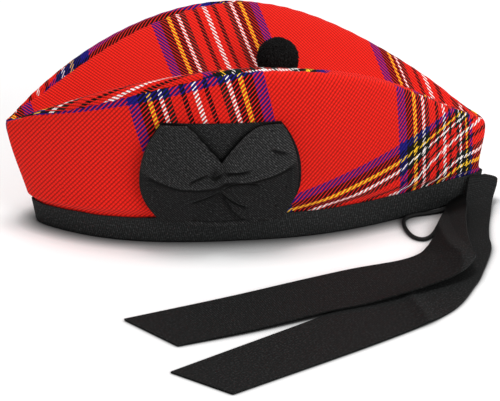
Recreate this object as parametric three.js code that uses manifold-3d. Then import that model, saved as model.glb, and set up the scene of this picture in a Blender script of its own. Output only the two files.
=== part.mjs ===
// A tartan glengarry: a boat-shaped cap of wool cloth with a creased crown, a black ribbon binding,
// a ribbon cockade, a wool toorie, two ribbon tails and a small elastic loop.
// Millimetres. -X is the pointed front, +X the back, -Y the wearer's left, +Z up.
// The origin is the middle of the head opening, in the plane that the cap rests on.
import * as THREE from 'three';
import Module from 'manifold-3d';
import { mergeVertices } from 'three/addons/utils/BufferGeometryUtils.js';

const wasm = await Module();
wasm.setup();

// Head opening: the outline of the binding's outer face
const OPENING_LENGTH = 260;
const OPENING_HALF_WIDTH = 41.8;
const OPENING_ROUNDNESS = 0.63; // 1 is an ellipse, 0 a lens with sharp ends
const FRONT_FULLNESS = 0.55; // how much fuller the front half is, behind its tip
const BACK_NARROWING = 0.4; // and how much slimmer the back half grows towards its end
const BACK_NARROWING_POWER = 2.5;
const END_INSET = 1.4; // an inset of 1 mm at the sides is this much at the two ends

// Cloth, ribbon and the gap between pieces
const CLOTH = 2;
const RIBBON = 1;
const GAP = 0.3;
const CLOTH_INSET = RIBBON + GAP;

// Binding, folded over the cloth's lower edge and flaring a little towards its top
const BINDING_HEIGHT = 17;
const BINDING_FLARE = 2;
const BINDING_FRONT_DROP = 3; // it is this much lower at the front

// Crown: two crests that meet at a point in front and behind, with a valley between them
const TIP_X = -144.1;
const TIP_Z = 64.5;
const BACK_X = 130.2;
const BACK_Z = 50.5;
const CREST_Z = 110;
const CREST_HALF_WIDTH = 48;
const CREST_LIFT = { // each crest is lifted over one stretch, between two angles
  left: { lift: 3.2, from: 1.6, to: 2.6 },
  right: { lift: 1.8, from: 0.3, to: 2.2 },
};
const FRONT_OPENING_POWER = 1.7; // how the crests part from each other behind the tip
const BACK_OPENING_POWER = 2.2; // and how they close again at the back
const BACK_FALL_POWER = 1.68;
const VALLEY_DEPTH = 27;
const VALLEY_FLOOR = 16; // half width of the flat floor of the valley
const SHOULDER_OUT = 10; // roundness of a crest on its outer side
const SHOULDER_IN = 10; // and on its inner side
const FRONT_ROUND = 6; // roundness of the cap's front edge
const FRONT_ROUND_POWER = 24; // how close to the tip it sets in
const BACK_ROUND = 8.5; // roundness of the cap's rear corner
const BACK_ROUND_POWER = 8; // how close to the back it sets in
const WALL_RISE = 0.35; // share of the wall that rises straight from the binding
const PUFF = 3.5; // the cloth stands this far out over the binding, but not at the back
const PUFF_SHARE = 0.08; // within this share of the wall's height

// Crown seams, as a share of the curve beside each crest
const LEFT_SEAM = 0.19; // the left seam drops outside its crest by up to this share
const LEFT_SEAM_END = 1.8; // and is back on it at this angle
const LEFT_SEAM_POWER = 1.5; // how gently it leaves the crest and comes back
const RIGHT_SEAM_SLANT = 0.4; // the right seam runs from inside its crest at the front to outside it
const RIGHT_SEAM_LOWEST = -0.2;
const SEAM_CLOSING = 3; // both close on the crests where the crown narrows to its ends

// Cockade: a loop of wide ribbon on the left side, its front layer pinched at the middle
const COCKADE_X = -27;
const COCKADE_Z = 43;
const COCKADE_HALF_WIDTH = 45.2;
const COCKADE_CORNER_PULL = 12; // its sides bulge past its corners by this much
const CORNER_PULL_POWER = 2.2;
const COCKADE_TOP = 36.2;
const COCKADE_BOTTOM = 25.7;
const COCKADE_BOTTOM_SAG = 4;
const COCKADE_HANG_Z = 27; // below this height the ribbon hangs straight, clear of the binding
const COCKADE_LIFT = 0.5; // clearance of its back layer from the cloth
const PINCH_TOP = 12.5; // height of the pinch above its middle
const PINCH_BOTTOM = 5.5; // and below it
const PINCH_REACH_TOP = 0.55; // share of a wing over which the pinch opens out, at its top edge
const PINCH_REACH_BOTTOM = 1; // and at its bottom edge
const PINCH_POWER_TOP = 1.8; // how fast it opens out there
const PINCH_POWER_BOTTOM = 3.2;
const PINCH_DEPTH = 3; // the pinch stands this far off the back layer
const WING_PUFF = 8; // and the wings this far
const WING_PUFF_SKEW = 0.8; // a wing's fullest place lies this much nearer the pinch
const WING_EDGE_PUFF = 0.5; // share of the puff that is lost at a wing's top and bottom
const LOWER_LOBE = 0.6; // a wing's lower half has this share of the puff
const LOWER_LOBE_DEPTH = 0.25; // and sinks to it over this share of its height
const WING_FOLD = 2.5; // depth of the fold along each wing
const WING_FOLD_WIDTH = 0.14; // and its half width, as a share of the wing's

// Toorie
const TOORIE_X = 11;
const TOORIE_RADIUS = 12;
const TOORIE_HEAD_RADIUS = 11;
const TOORIE_SEAT = 2 * GAP; // clearance from the valley, so that slanting locks clear it too
const TOORIE_LOCKS = 38;
const LOCK_RADIUS = 2.7;
const LOCK_TIP = 0.7; // a lock's tip is this share of its root

// Ribbon tails: stations along each tail, with the ribbon's inner and outer edge on its under side
const UPPER_TAIL = [
  { inner: [112.6, -12.9, 3], outer: [119.5, -10.6, 5.5] },
  { inner: [108.5, -18.3, 3], outer: [119.8, -18.4, 6.4] },
  { inner: [104.6, -30, 3.6], outer: [117.5, -33, 9.8] },
  { inner: [98.7, -44.3, 3], outer: [113.4, -52, 10.5] },
  { inner: [94, -57.5, 2.6], outer: [110.6, -73, 11] },
  { inner: [88, -68, 2.4], outer: [110, -88.4, 11] },
  { inner: [81.8, -75.8, 2.2], outer: [109.4, -98.4, 8.8] },
  { inner: [69, -82, 2], outer: [96, -109.4, 3.6] },
  { inner: [42, -88, 1.8], outer: [53.7, -126.4, 2] },
  { inner: [12, -96.6, 1.2], outer: [23, -134.6, 1.8] },
  { inner: [-32, -110.6, 0.6], outer: [-20, -148.6, 1.2] },
  { inner: [-89.5, -127.5, 0.2], outer: [-63.5, -160, 0.4] },
];
const LOWER_TAIL = [
  { inner: [124.4, -8, 16], outer: [133.6, -2.8, 14.2] },
  { inner: [122.6, -9.6, 15.2], outer: [139.6, -5.6, 13.4] },
  { inner: [121.2, -12.5, 9], outer: [140, -8.2, 11.6] },
  { inner: [119.2, -17.4, 1.6], outer: [136.4, -15, 4.4] },
  { inner: [116, -26, 0], outer: [132.6, -28, 1.2] },
  { inner: [112, -38, 0], outer: [129, -42, 0.8] },
  { inner: [107, -52, 0], outer: [126, -57.8, 1] },
  { inner: [99, -66, 0], outer: [124.4, -71.6, 1.2] },
  { inner: [88, -81, 0], outer: [115.8, -94.4, 0.6] },
  { inner: [77, -94, 0], outer: [107.4, -112.2, 0.4] },
  { inner: [64, -105, 0], outer: [88, -140.5, 0.4] },
  { inner: [28, -131, 0], outer: [47.5, -167.2, 0.4] },
  { inner: [-70, -187.5, 0], outer: [-40.2, -214, 0.2] },
];

// Elastic loop: its route over the resting plane, both ends at the binding under the upper tail
const ELASTIC_DIAMETER = 2;
const ELASTIC_ROUTE = [
  [113.2, -12.5, 1.2], [111, -15.2, 1.1], [108.2, -17.7, 1.05], [104.2, -20.2, 1.05], [97, -22, 1.05],
  [89.6, -23.1, 1.05], [84.8, -25, 1.05], [82, -28.1, 1.05], [80.7, -32.8, 1.05], [80.5, -39.5, 1.05],
  [81.7, -46.6, 1.05], [84.2, -52, 1.05], [88.2, -54.2, 1.05], [92.6, -51.7, 1.05], [96.4, -45.8, 1.05],
  [100, -38, 1.05], [103.6, -29.5, 1.05], [107.4, -22, 1.05], [111.2, -17.4, 1.05], [114.4, -14, 1.1],
  [117, -11, 1.2],
];

// Fineness of the solids
const STATIONS = 34; // along each side of the cap
const BINDING_ROWS = 1;
const WALL_ROWS = 11;
const CROWN_ROWS = 14;
const COCKADE_COLUMNS = 24;
const COCKADE_ROWS = 10;
const TOORIE_HEAD_DETAIL = 3;
const LOCK_SIDES = 5;
const TAIL_STEPS = 30;
const TAIL_ROWS = 2;
const ELASTIC_STEPS = 50;
const ELASTIC_SIDES = 8;
const SEARCH_PASSES = 5; // for a place on the wall
const SEARCH_STEP = 0.01;
const SEARCH_END = 1e-4;

// Colours
const TARTAN_RED = 0xd8231c;
const RIBBON_BLACK = 0x242424;
const WOOL_BLACK = 0x0e0e0e;

const smooth = (value) => THREE.MathUtils.smoothstep(value, 0, 1);

// Surfaces of the cap. An angle runs from 0 at the front to PI at the back, and points have y >= 0.
// An inset counts inwards from the binding's outer face.
function outline(angle, inset) {
  const s = Math.sin(angle);
  const ahead = Math.cos(angle);
  const roundness = OPENING_ROUNDNESS * s + (1 - OPENING_ROUNDNESS) * s ** 3;
  const fuller = FRONT_FULLNESS * Math.max(0, ahead) ** 2 * (1 - ahead ** 4);
  const slimmer = BACK_NARROWING * Math.max(0, -ahead) ** BACK_NARROWING_POWER;
  const x = -(OPENING_LENGTH / 2 - END_INSET * inset) * ahead;
  const y = (OPENING_HALF_WIDTH - inset) * roundness * (1 + fuller - slimmer);
  return new THREE.Vector2(x, y);
}

// The outline at a height within the binding
const flared = (angle, inset, z) => outline(angle, inset - (BINDING_FLARE * z) / BINDING_HEIGHT);

function bindingTop(angle) {
  return BINDING_HEIGHT - BINDING_FRONT_DROP * Math.max(0, Math.cos(angle)) ** 2;
}

// How far a section has opened, from 0 at the two ends to 1 at the middle
function openedAt(angle) {
  return Math.sin(angle) ** (Math.cos(angle) > 0 ? FRONT_OPENING_POWER : BACK_OPENING_POWER);
}

// One half of a cross-section: the foot in the binding, the wall up to the crest, the slope to the valley
function halfSection(angle, inset) {
  const ahead = Math.cos(angle);
  const behind = Math.max(0, -ahead);
  const depth = inset - CLOTH_INSET;
  const opened = openedAt(angle);
  const fall = ahead > 0 ? (CREST_Z - TIP_Z) * ahead ** 2 : (CREST_Z - BACK_Z) * behind ** BACK_FALL_POWER;
  const crestX = (TIP_X + BACK_X) / 2 - ((BACK_X - TIP_X) / 2 - END_INSET * depth) * ahead;
  const crest = new THREE.Vector3(crestX, CREST_HALF_WIDTH * opened, CREST_Z - fall - depth);
  const footZ = bindingTop(angle) + GAP;
  const flat = flared(angle, inset, footZ);
  const foot = new THREE.Vector3(flat.x, flat.y, footZ);
  const outward = new THREE.Vector3(-ahead / OPENING_LENGTH, Math.sin(angle) / OPENING_HALF_WIDTH / 2, 0);
  outward.normalize();
  const frontRound = FRONT_ROUND * Math.max(0, ahead) ** FRONT_ROUND_POWER;
  const backRound = BACK_ROUND * behind ** BACK_ROUND_POWER;
  const shoulder = (SHOULDER_OUT - depth) * opened + frontRound + backRound;
  const rise = foot.clone().lerp(crest, WALL_RISE);
  const brow = crest.clone().addScaledVector(outward, shoulder);
  const valleyZ = crest.z - VALLEY_DEPTH * opened;
  const inner = new THREE.Vector3(crestX, crest.y - SHOULDER_IN * opened, crest.z);
  const floor = new THREE.Vector3(crestX, VALLEY_FLOOR * opened, valleyZ);
  const valley = new THREE.Vector3(crestX, 0, valleyZ);
  return {
    foot,
    outward,
    puff: PUFF * (1 - behind ** BACK_ROUND_POWER),
    wall: new THREE.CubicBezierCurve3(foot, rise, brow, crest),
    slope: new THREE.CubicBezierCurve3(crest, inner, floor, valley),
  };
}

// A point of the cloth. Height runs from 0 at the cloth's hidden lower edge to 1 at the binding's top,
// 2 at the crest and 3 in the valley.
function clothPoint(angle, height, inset) {
  const section = halfSection(angle, inset);
  if (height <= 1) {
    const z = THREE.MathUtils.lerp(RIBBON + GAP, section.foot.z, height);
    const flat = flared(angle, inset, z);
    return new THREE.Vector3(flat.x, flat.y, z);
  }
  if (height <= 2) {
    const up = height - 1;
    const puff = section.puff * smooth(up / PUFF_SHARE) * (1 - up);
    return section.wall.getPoint(up).addScaledVector(section.outward, puff);
  }
  return section.slope.getPoint(height - 2);
}

// A point of the cloth on one side of the cap, -1 for the left, with the lift of that side's crest
function onSide(side, angle, height, inset) {
  const { lift, from, to } = side < 0 ? CREST_LIFT.left : CREST_LIFT.right;
  const along = THREE.MathUtils.clamp((angle - from) / (to - from), 0, 1);
  const nearCrest = Math.max(0, 1 - (height - 2) ** 2);
  const point = clothPoint(angle, height, inset);
  point.y *= side;
  point.z += lift * Math.sin(Math.PI * along) ** 2 * nearCrest;
  return point;
}

const stationAngle = (i) => (Math.PI * i) / STATIONS;
const closing = (angle) => Math.min(1, SEAM_CLOSING * openedAt(angle));

function leftSeam(angle) {
  const along = Math.min(1, angle / LEFT_SEAM_END);
  return 2 - LEFT_SEAM * Math.sin(Math.PI * along) ** LEFT_SEAM_POWER * closing(angle);
}

function rightSeam(angle) {
  return 2 + Math.max(RIGHT_SEAM_LOWEST, RIGHT_SEAM_SLANT * Math.cos(angle)) * closing(angle);
}

// The height that lies half a gap from a seam
function besideSeam(angle, seam, side) {
  const low = clothPoint(angle, seam - SEARCH_STEP, CLOTH_INSET);
  const high = clothPoint(angle, seam + SEARCH_STEP, CLOTH_INSET);
  const speed = high.distanceTo(low) / (2 * SEARCH_STEP);
  return seam + (side * GAP) / 2 / Math.max(speed, 1);
}

// Closed solids from grids of points
function solid(positions, triangles) {
  const volume = triangles.reduce((sum, [a, b, c]) => {
    const normal = new THREE.Vector3().crossVectors(positions[b], positions[c]);
    return sum + positions[a].dot(normal);
  }, 0);
  const facing = volume < 0 ? triangles.map(([a, b, c]) => [a, c, b]) : triangles;
  const geometry = new THREE.BufferGeometry().setFromPoints(positions);
  geometry.setIndex(facing.flat());
  geometry.computeVertexNormals();
  return geometry;
}

// A sheet between two grids of points, point(i, j, side) with side 0 outside and 1 inside
function sheet(columns, rows, point) {
  const positions = [];
  const at = (i, j, side) => (side * (columns + 1) + i) * (rows + 1) + j;
  for (let side = 0; side < 2; side++) {
    for (let i = 0; i <= columns; i++) {
      for (let j = 0; j <= rows; j++) positions.push(point(i, j, side));
    }
  }
  const triangles = [];
  const quad = (a, b, c, d) => triangles.push([a, b, c], [a, c, d]);
  for (let i = 0; i < columns; i++) {
    for (let j = 0; j < rows; j++) {
      quad(at(i, j, 0), at(i + 1, j, 0), at(i + 1, j + 1, 0), at(i, j + 1, 0));
      quad(at(i, j + 1, 1), at(i + 1, j + 1, 1), at(i + 1, j, 1), at(i, j, 1));
    }
    quad(at(i, 0, 1), at(i + 1, 0, 1), at(i + 1, 0, 0), at(i, 0, 0));
    quad(at(i, rows, 0), at(i + 1, rows, 0), at(i + 1, rows, 1), at(i, rows, 1));
  }
  for (let j = 0; j < rows; j++) {
    quad(at(0, j, 0), at(0, j + 1, 0), at(0, j + 1, 1), at(0, j, 1));
    quad(at(columns, j, 1), at(columns, j + 1, 1), at(columns, j + 1, 0), at(columns, j, 0));
  }
  return solid(positions, triangles);
}

// A profile carried round a closed ring, point(i, j)
function ring(columns, sides, point) {
  const positions = [];
  for (let i = 0; i < columns; i++) {
    for (let j = 0; j < sides; j++) positions.push(point(i, j));
  }
  const at = (i, j) => (i % columns) * sides + (j % sides);
  const triangles = [];
  for (let i = 0; i < columns; i++) {
    for (let j = 0; j < sides; j++) {
      triangles.push([at(i, j), at(i + 1, j), at(i + 1, j + 1)]);
      triangles.push([at(i, j), at(i + 1, j + 1), at(i, j + 1)]);
    }
  }
  return solid(positions, triangles);
}

// Side panels: from the hem in the binding to the crown seam, stopping short of the middle plane
function sidePanel(sign, seam) {
  const rows = BINDING_ROWS + WALL_ROWS;
  return sheet(STATIONS, rows, (i, j, side) => {
    const angle = stationAngle(i);
    const top = besideSeam(angle, seam(angle), -1);
    const share = (j - BINDING_ROWS) / WALL_ROWS;
    const height = j <= BINDING_ROWS ? j / BINDING_ROWS : 1 + (top - 1) * share;
    const point = onSide(sign, angle, height, CLOTH_INSET + side * CLOTH);
    point.y = sign * Math.max(sign * point.y, GAP / 2);
    return point;
  });
}

// Top panel: from the left seam over the left crest, through the valley to the right seam.
// It stops one station short of each pointed end.
function crownTop() {
  const half = CROWN_ROWS / 2;
  return sheet(STATIONS - 2, CROWN_ROWS, (i, j, side) => {
    const angle = stationAngle(i + 1);
    const left = j <= half;
    const seam = left ? leftSeam(angle) : rightSeam(angle);
    const share = left ? j / half : (CROWN_ROWS - j) / half;
    const height = THREE.MathUtils.lerp(besideSeam(angle, seam, 1), 3, share);
    return onSide(left ? -1 : 1, angle, height, CLOTH_INSET + side * CLOTH);
  });
}

// Binding: a U section round the head opening, with the cloth standing in it
function headband() {
  const innerLeg = CLOTH_INSET + CLOTH + GAP;
  const profile = [
    { inset: 0, top: false, z: 0 },
    { inset: 0, top: true },
    { inset: RIBBON, top: true },
    { inset: RIBBON, top: false, z: RIBBON },
    { inset: innerLeg, top: false, z: RIBBON },
    { inset: innerLeg, top: true },
    { inset: innerLeg + RIBBON, top: true },
    { inset: innerLeg + RIBBON, top: false, z: 0 },
  ];
  return ring(2 * STATIONS, profile.length, (i, j) => {
    const corner = profile[j];
    const angle = stationAngle(i <= STATIONS ? i : 2 * STATIONS - i);
    const z = corner.top ? bindingTop(angle) : corner.z;
    const flat = flared(angle, corner.inset, z);
    return new THREE.Vector3(flat.x, i <= STATIONS ? -flat.y : flat.y, z);
  });
}

// A place on the outside of the left wall, by its x and z, lifted along the wall's normal
function onLeftWall(x, z, lift) {
  const wallZ = Math.max(z, COCKADE_HANG_Z);
  let angle = Math.acos(-x / (OPENING_LENGTH / 2));
  let height = 1.5;
  for (let pass = 0; pass < SEARCH_PASSES; pass++) {
    let low = 1;
    let high = 2;
    while (high - low > SEARCH_END) {
      height = (low + high) / 2;
      if (clothPoint(angle, height, CLOTH_INSET).z < wallZ) low = height;
      else high = height;
    }
    const off = x - clothPoint(angle, height, CLOTH_INSET).x;
    angle += off / ((OPENING_LENGTH / 2) * Math.sin(angle));
  }
  const place = clothPoint(angle, height, CLOTH_INSET);
  const along = clothPoint(angle + SEARCH_STEP, height, CLOTH_INSET).sub(place);
  const up = clothPoint(angle, height + SEARCH_STEP, CLOTH_INSET).sub(place);
  const normal = along.cross(up).normalize();
  if (normal.y < 0) normal.negate();
  place.addScaledVector(normal, lift);
  return new THREE.Vector3(place.x, -place.y, place.z + z - wallZ);
}

const halfWidthAt = (up) => COCKADE_HALF_WIDTH - COCKADE_CORNER_PULL * Math.abs(up) ** CORNER_PULL_POWER;

// Back layer of the cockade. Across and up run from -1 to 1.
function cockadeBack() {
  return sheet(COCKADE_COLUMNS / 2, COCKADE_ROWS, (i, j, side) => {
    const across = (4 * i) / COCKADE_COLUMNS - 1;
    const up = (2 * j) / COCKADE_ROWS - 1;
    const sag = COCKADE_BOTTOM + COCKADE_BOTTOM_SAG * (1 - across ** 2);
    const x = COCKADE_X + across * halfWidthAt(up);
    const z = COCKADE_Z + up * (up > 0 ? COCKADE_TOP : sag);
    return onLeftWall(x, z, COCKADE_LIFT + (1 - side) * RIBBON);
  });
}

// Front layer: its top and bottom edges run in to the pinch, and each wing stands out and has one fold
function cockadeBow() {
  return sheet(COCKADE_COLUMNS, COCKADE_ROWS, (i, j, side) => {
    const across = (2 * i) / COCKADE_COLUMNS - 1;
    const up = (2 * j) / COCKADE_ROWS - 1;
    const away = Math.abs(across);
    const reach = up > 0 ? PINCH_REACH_TOP : PINCH_REACH_BOTTOM;
    const power = up > 0 ? PINCH_POWER_TOP : PINCH_POWER_BOTTOM;
    const opening = 1 - Math.max(0, 1 - away / reach) ** power;
    const top = THREE.MathUtils.lerp(PINCH_TOP, COCKADE_TOP, opening);
    const bottom = THREE.MathUtils.lerp(PINCH_BOTTOM, COCKADE_BOTTOM, opening);
    const edge = 1 - WING_EDGE_PUFF * up ** 2;
    const lobe = THREE.MathUtils.lerp(1, LOWER_LOBE, smooth(-up / LOWER_LOBE_DEPTH));
    const puff = WING_PUFF * Math.sin(Math.PI * away ** WING_PUFF_SKEW) * edge * lobe;
    const fold = WING_FOLD * Math.exp(-((up / WING_FOLD_WIDTH) ** 2)) * Math.sin(Math.PI * away);
    const pinch = PINCH_DEPTH * (1 - away) ** 2;
    const under = COCKADE_LIFT + RIBBON + GAP + Math.max(0, puff + pinch - fold);
    const x = COCKADE_X + across * halfWidthAt(up * opening);
    const z = COCKADE_Z + up * (up > 0 ? top : bottom);
    return onLeftWall(x, z, under + (1 - side) * RIBBON);
  });
}

// Joining of solids
function toManifold(geometry) {
  const bare = geometry.clone();
  bare.deleteAttribute('normal');
  bare.deleteAttribute('uv');
  const merged = mergeVertices(bare, SEARCH_END);
  return new wasm.Manifold(new wasm.Mesh({
    numProp: 3,
    vertProperties: Float32Array.from(merged.attributes.position.array),
    triVerts: Uint32Array.from(merged.index.array),
  }));
}

function fromManifold(body) {
  const mesh = body.getMesh();
  const geometry = new THREE.BufferGeometry();
  geometry.setAttribute('position', new THREE.BufferAttribute(Float32Array.from(mesh.vertProperties), 3));
  geometry.setIndex(Array.from(mesh.triVerts));
  geometry.computeVertexNormals();
  return geometry;
}

// Toorie: blunt locks of wool all round a head, spread evenly by the golden angle
function toorie() {
  const head = new THREE.IcosahedronGeometry(TOORIE_HEAD_RADIUS, TOORIE_HEAD_DETAIL);
  const golden = Math.PI * (3 - Math.sqrt(5));
  const upright = new THREE.Vector3(0, 1, 0);
  let body = toManifold(head);
  for (let n = 0; n < TOORIE_LOCKS; n++) {
    const z = 1 - (2 * n + 1) / TOORIE_LOCKS;
    const flat = Math.sqrt(1 - z * z);
    const away = new THREE.Vector3(flat * Math.cos(n * golden), flat * Math.sin(n * golden), z);
    const rootRadius = TOORIE_RADIUS / 2;
    const length = TOORIE_RADIUS - rootRadius;
    const lock = new THREE.CylinderGeometry(LOCK_RADIUS * LOCK_TIP, LOCK_RADIUS, length, LOCK_SIDES);
    lock.translate(0, rootRadius + length / 2, 0);
    lock.applyQuaternion(new THREE.Quaternion().setFromUnitVectors(upright, away));
    body = body.add(toManifold(lock));
  }
  return fromManifold(body);
}

// Ribbon tail: a strip between two smooth edges, thickened on its upper side and never under the floor
function ribbonTail(stations) {
  const edge = (name) => new THREE.CatmullRomCurve3(stations.map((row) => new THREE.Vector3(...row[name])));
  const inner = edge('inner');
  const outer = edge('outer');
  return sheet(TAIL_STEPS, TAIL_ROWS, (i, j, side) => {
    const along = i / TAIL_STEPS;
    const start = inner.getPoint(along);
    const across = outer.getPoint(along).sub(start);
    const ahead = inner.getTangent(along).add(outer.getTangent(along));
    const normal = ahead.cross(across).normalize();
    const place = start.addScaledVector(across, j / TAIL_ROWS);
    place.z = Math.max(place.z, 0);
    return place.addScaledVector(normal, (1 - side) * RIBBON);
  });
}

function elasticLoop() {
  const section = new THREE.Shape();
  for (let k = 0; k < ELASTIC_SIDES; k++) {
    const turn = (2 * Math.PI * k) / ELASTIC_SIDES;
    const x = (ELASTIC_DIAMETER / 2) * Math.cos(turn);
    const y = (ELASTIC_DIAMETER / 2) * Math.sin(turn);
    if (k === 0) section.moveTo(x, y);
    else section.lineTo(x, y);
  }
  section.closePath();
  const extrudePath = new THREE.CatmullRomCurve3(ELASTIC_ROUTE.map((row) => new THREE.Vector3(...row)));
  return new THREE.ExtrudeGeometry(section, { steps: ELASTIC_STEPS, extrudePath, bevelEnabled: false });
}

// The cap
const tartan = { color: TARTAN_RED, roughness: 0.9, metalness: 0 };
const ribbon = { color: RIBBON_BLACK, roughness: 0.75, metalness: 0 };
const wool = { color: WOOL_BLACK, roughness: 1, metalness: 0 };

const glengarry = new THREE.Group();

function addPiece(name, geometry, finish) {
  const piece = new THREE.Mesh(geometry, new THREE.MeshStandardMaterial(finish));
  piece.name = name;
  glengarry.add(piece);
  return piece;
}

addPiece('side_left', sidePanel(-1, leftSeam), tartan);
addPiece('side_right', sidePanel(1, rightSeam), tartan);
addPiece('crown_top', crownTop(), tartan);
addPiece('headband', headband(), ribbon);
addPiece('cockade_back', cockadeBack(), ribbon);
addPiece('cockade_bow', cockadeBow(), ribbon);
const pompom = addPiece('toorie', toorie(), wool);
const seatAngle = Math.acos(((TIP_X + BACK_X) / 2 - TOORIE_X) / ((BACK_X - TIP_X) / 2));
const seatZ = clothPoint(seatAngle, 3, CLOTH_INSET).z;
pompom.position.set(TOORIE_X, 0, seatZ + TOORIE_SEAT + TOORIE_RADIUS);
addPiece('ribbon_tail_upper', ribbonTail(UPPER_TAIL), ribbon);
addPiece('ribbon_tail_lower', ribbonTail(LOWER_TAIL), ribbon);
addPiece('elastic_loop', elasticLoop(), ribbon);

export default glengarry;
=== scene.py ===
# %% [markdown]
# # A tartan glengarry
#
# A glengarry is a soft wool cap shaped like an upturned boat. Two side panels and a creased top are sewn from
# tartan cloth, a black ribbon binds the lower edge, and a ribbon cockade, a wool toorie and two ribbon tails
# finish it. The solid model gives each piece its place. This lesson makes the cloth that the eye sees, as
# surfaces worked out with numpy, and then weaves the tartan with shader nodes.

import bpy
import numpy as np
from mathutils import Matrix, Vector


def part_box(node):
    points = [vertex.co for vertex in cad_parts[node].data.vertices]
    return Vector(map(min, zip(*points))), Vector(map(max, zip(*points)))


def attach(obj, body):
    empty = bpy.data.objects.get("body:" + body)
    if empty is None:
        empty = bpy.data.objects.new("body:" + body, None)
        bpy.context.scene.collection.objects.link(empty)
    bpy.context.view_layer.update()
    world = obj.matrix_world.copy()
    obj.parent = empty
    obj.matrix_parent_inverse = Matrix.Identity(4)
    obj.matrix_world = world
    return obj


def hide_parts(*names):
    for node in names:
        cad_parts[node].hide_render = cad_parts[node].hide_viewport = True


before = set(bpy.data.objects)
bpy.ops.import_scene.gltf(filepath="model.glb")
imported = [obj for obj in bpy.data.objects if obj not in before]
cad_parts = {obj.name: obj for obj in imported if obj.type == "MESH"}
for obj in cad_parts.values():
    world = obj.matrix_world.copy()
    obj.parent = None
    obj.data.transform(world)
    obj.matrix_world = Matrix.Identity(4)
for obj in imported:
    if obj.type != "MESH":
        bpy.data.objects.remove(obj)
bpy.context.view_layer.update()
MM = 0.001  # the numbers below are millimetres, and meshes are in metres

# %% [markdown]
# ## Camera
#
# The cap was seen from its left, a little towards the front and well above it, through a long lens. A lens
# that is long for its sensor keeps the near and far ridges almost the same size, so the focal length is
# worked out from the picture's width instead of being left at Blender's 50 mm.

# %% Camera
CAMERA_TURN = np.radians(-7.0)
CAMERA_RISE = np.radians(26.5)
CAMERA_DISTANCE = 1700.0
LOOKED_AT = np.array([-3.88, 8.78, 0.0])
PICTURE_WIDTH = 500
FOCAL_PIXELS = 2890.0
SENSOR_WIDTH = 36.0

away = np.array([
    np.sin(CAMERA_TURN) * np.cos(CAMERA_RISE),
    -np.cos(CAMERA_TURN) * np.cos(CAMERA_RISE),
    np.sin(CAMERA_RISE),
])
scene = bpy.context.scene
camera = bpy.data.objects.new("camera", bpy.data.cameras.new("camera"))
camera.data.sensor_fit = "HORIZONTAL"
camera.data.sensor_width = SENSOR_WIDTH
camera.data.lens = FOCAL_PIXELS / PICTURE_WIDTH * SENSOR_WIDTH
camera.location = (LOOKED_AT + CAMERA_DISTANCE * away) * MM
camera.rotation_euler = (np.pi / 2 - CAMERA_RISE, 0, CAMERA_TURN)
scene.collection.objects.link(camera)
scene.camera = camera
scene.view_settings.view_transform = "Standard"
print("lens, mm:", round(camera.data.lens, 1))

# %% [markdown]
# ## Colours and nodes
#
# Colours are written as the hex values a screen shows, and Blender mixes light in linear values, so one
# function turns one into the other. A second function adds a shader node: its settings are set, and each of
# its inputs is either linked or given a value.

# %% Colours and nodes


def linear(colour):
    """sRGB hex to linear: a straight piece near black, and a power of 2.4 above it."""
    srgb = np.array([int(colour[i:i + 2], 16) for i in (1, 3, 5)]) / 255
    light = np.where(srgb <= 0.04045, srgb / 12.92, ((srgb + 0.055) / 1.055) ** 2.4)
    return (*light.tolist(), 1.0)


def add(material, kind, inputs=None, **settings):
    """Adds a node of that kind with its settings. An input is linked to a socket or to a node's first output,
    or it is set to a value."""
    tree = material.node_tree
    node = tree.nodes.new("ShaderNode" + kind)
    for name, value in settings.items():
        setattr(node, name, value)
    for key, value in (inputs or {}).items():
        if isinstance(value, bpy.types.Node):
            value = value.outputs[0]
        if isinstance(value, bpy.types.NodeSocket):
            tree.links.new(value, node.inputs[key])
        else:
            node.inputs[key].default_value = value
    return node


def new_material(name):
    """An empty node material."""
    material = bpy.data.materials.new(name)
    material.use_nodes = True
    material.node_tree.nodes.clear()
    return material


def set_stops(ramp, stops):
    """Sets a colour ramp's stops, pairs of a place from 0 to 1 and a colour. A new ramp has two stops."""
    elements = ramp.color_ramp.elements
    for number, (place, colour) in enumerate(stops):
        stop = elements[number] if number < 2 else elements.new(1.0)
        stop.position = place
        stop.color = linear(colour)


# %% [markdown]
# ## Tartan wool cloth
#
# The cloth is a 2/2 twill of dyed wool yarn. The same order of stripes, the sett, runs along the warp and the
# weft, and on the face the two take turns along diagonal ribs. Where a red warp crosses a black weft the eye
# sees red and black lines side by side, and where a colour meets itself it is solid. An image could hold
# this, but two colour ramps and a diagonal mask do it at any size. Each panel carries two UV maps in
# millimetres: "sett" says where a point is in the order of stripes, and "weave" where it is on the cloth.

# %% Tartan stripes
HALF_SETT = 75.0  # from the white pivot line to the middle of the broad red, where the sett turns back
# Each stripe's outer edge, measured from the white pivot line.
SETT = (
    (1.3, "#F7EDEA"), (5.0, "#E01E12"), (8.0, "#0C0607"), (13.8, "#E01E12"), (18.0, "#081A17"),
    (20.4, "#F7EDEA"), (24.6, "#0A0707"), (27.0, "#F8C428"), (32.3, "#0A0707"), (38.2, "#161172"),
    (HALF_SETT, "#E01E12"),
)

tartan = new_material("twill woven tartan wool")
sett_map = add(tartan, "UVMap", uv_map="sett")
sett_place = add(tartan, "SeparateXYZ", {0: sett_map})
inner_edges = [0.0] + [outer_edge for outer_edge, _ in SETT[:-1]]
yarns = []
for axis in ("X", "Y"):
    turned = add(tartan, "Math", {0: sett_place.outputs[axis], 1: HALF_SETT}, operation="PINGPONG")
    share = add(tartan, "Math", {0: turned, 1: HALF_SETT}, operation="DIVIDE")
    ramp = add(tartan, "ValToRGB", {0: share})
    ramp.color_ramp.interpolation = "CONSTANT"
    set_stops(ramp, [(inner / HALF_SETT, colour) for inner, (_, colour) in zip(inner_edges, SETT)])
    yarns.append(ramp)
print("tartan stripes in half a sett:", len(SETT))

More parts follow.
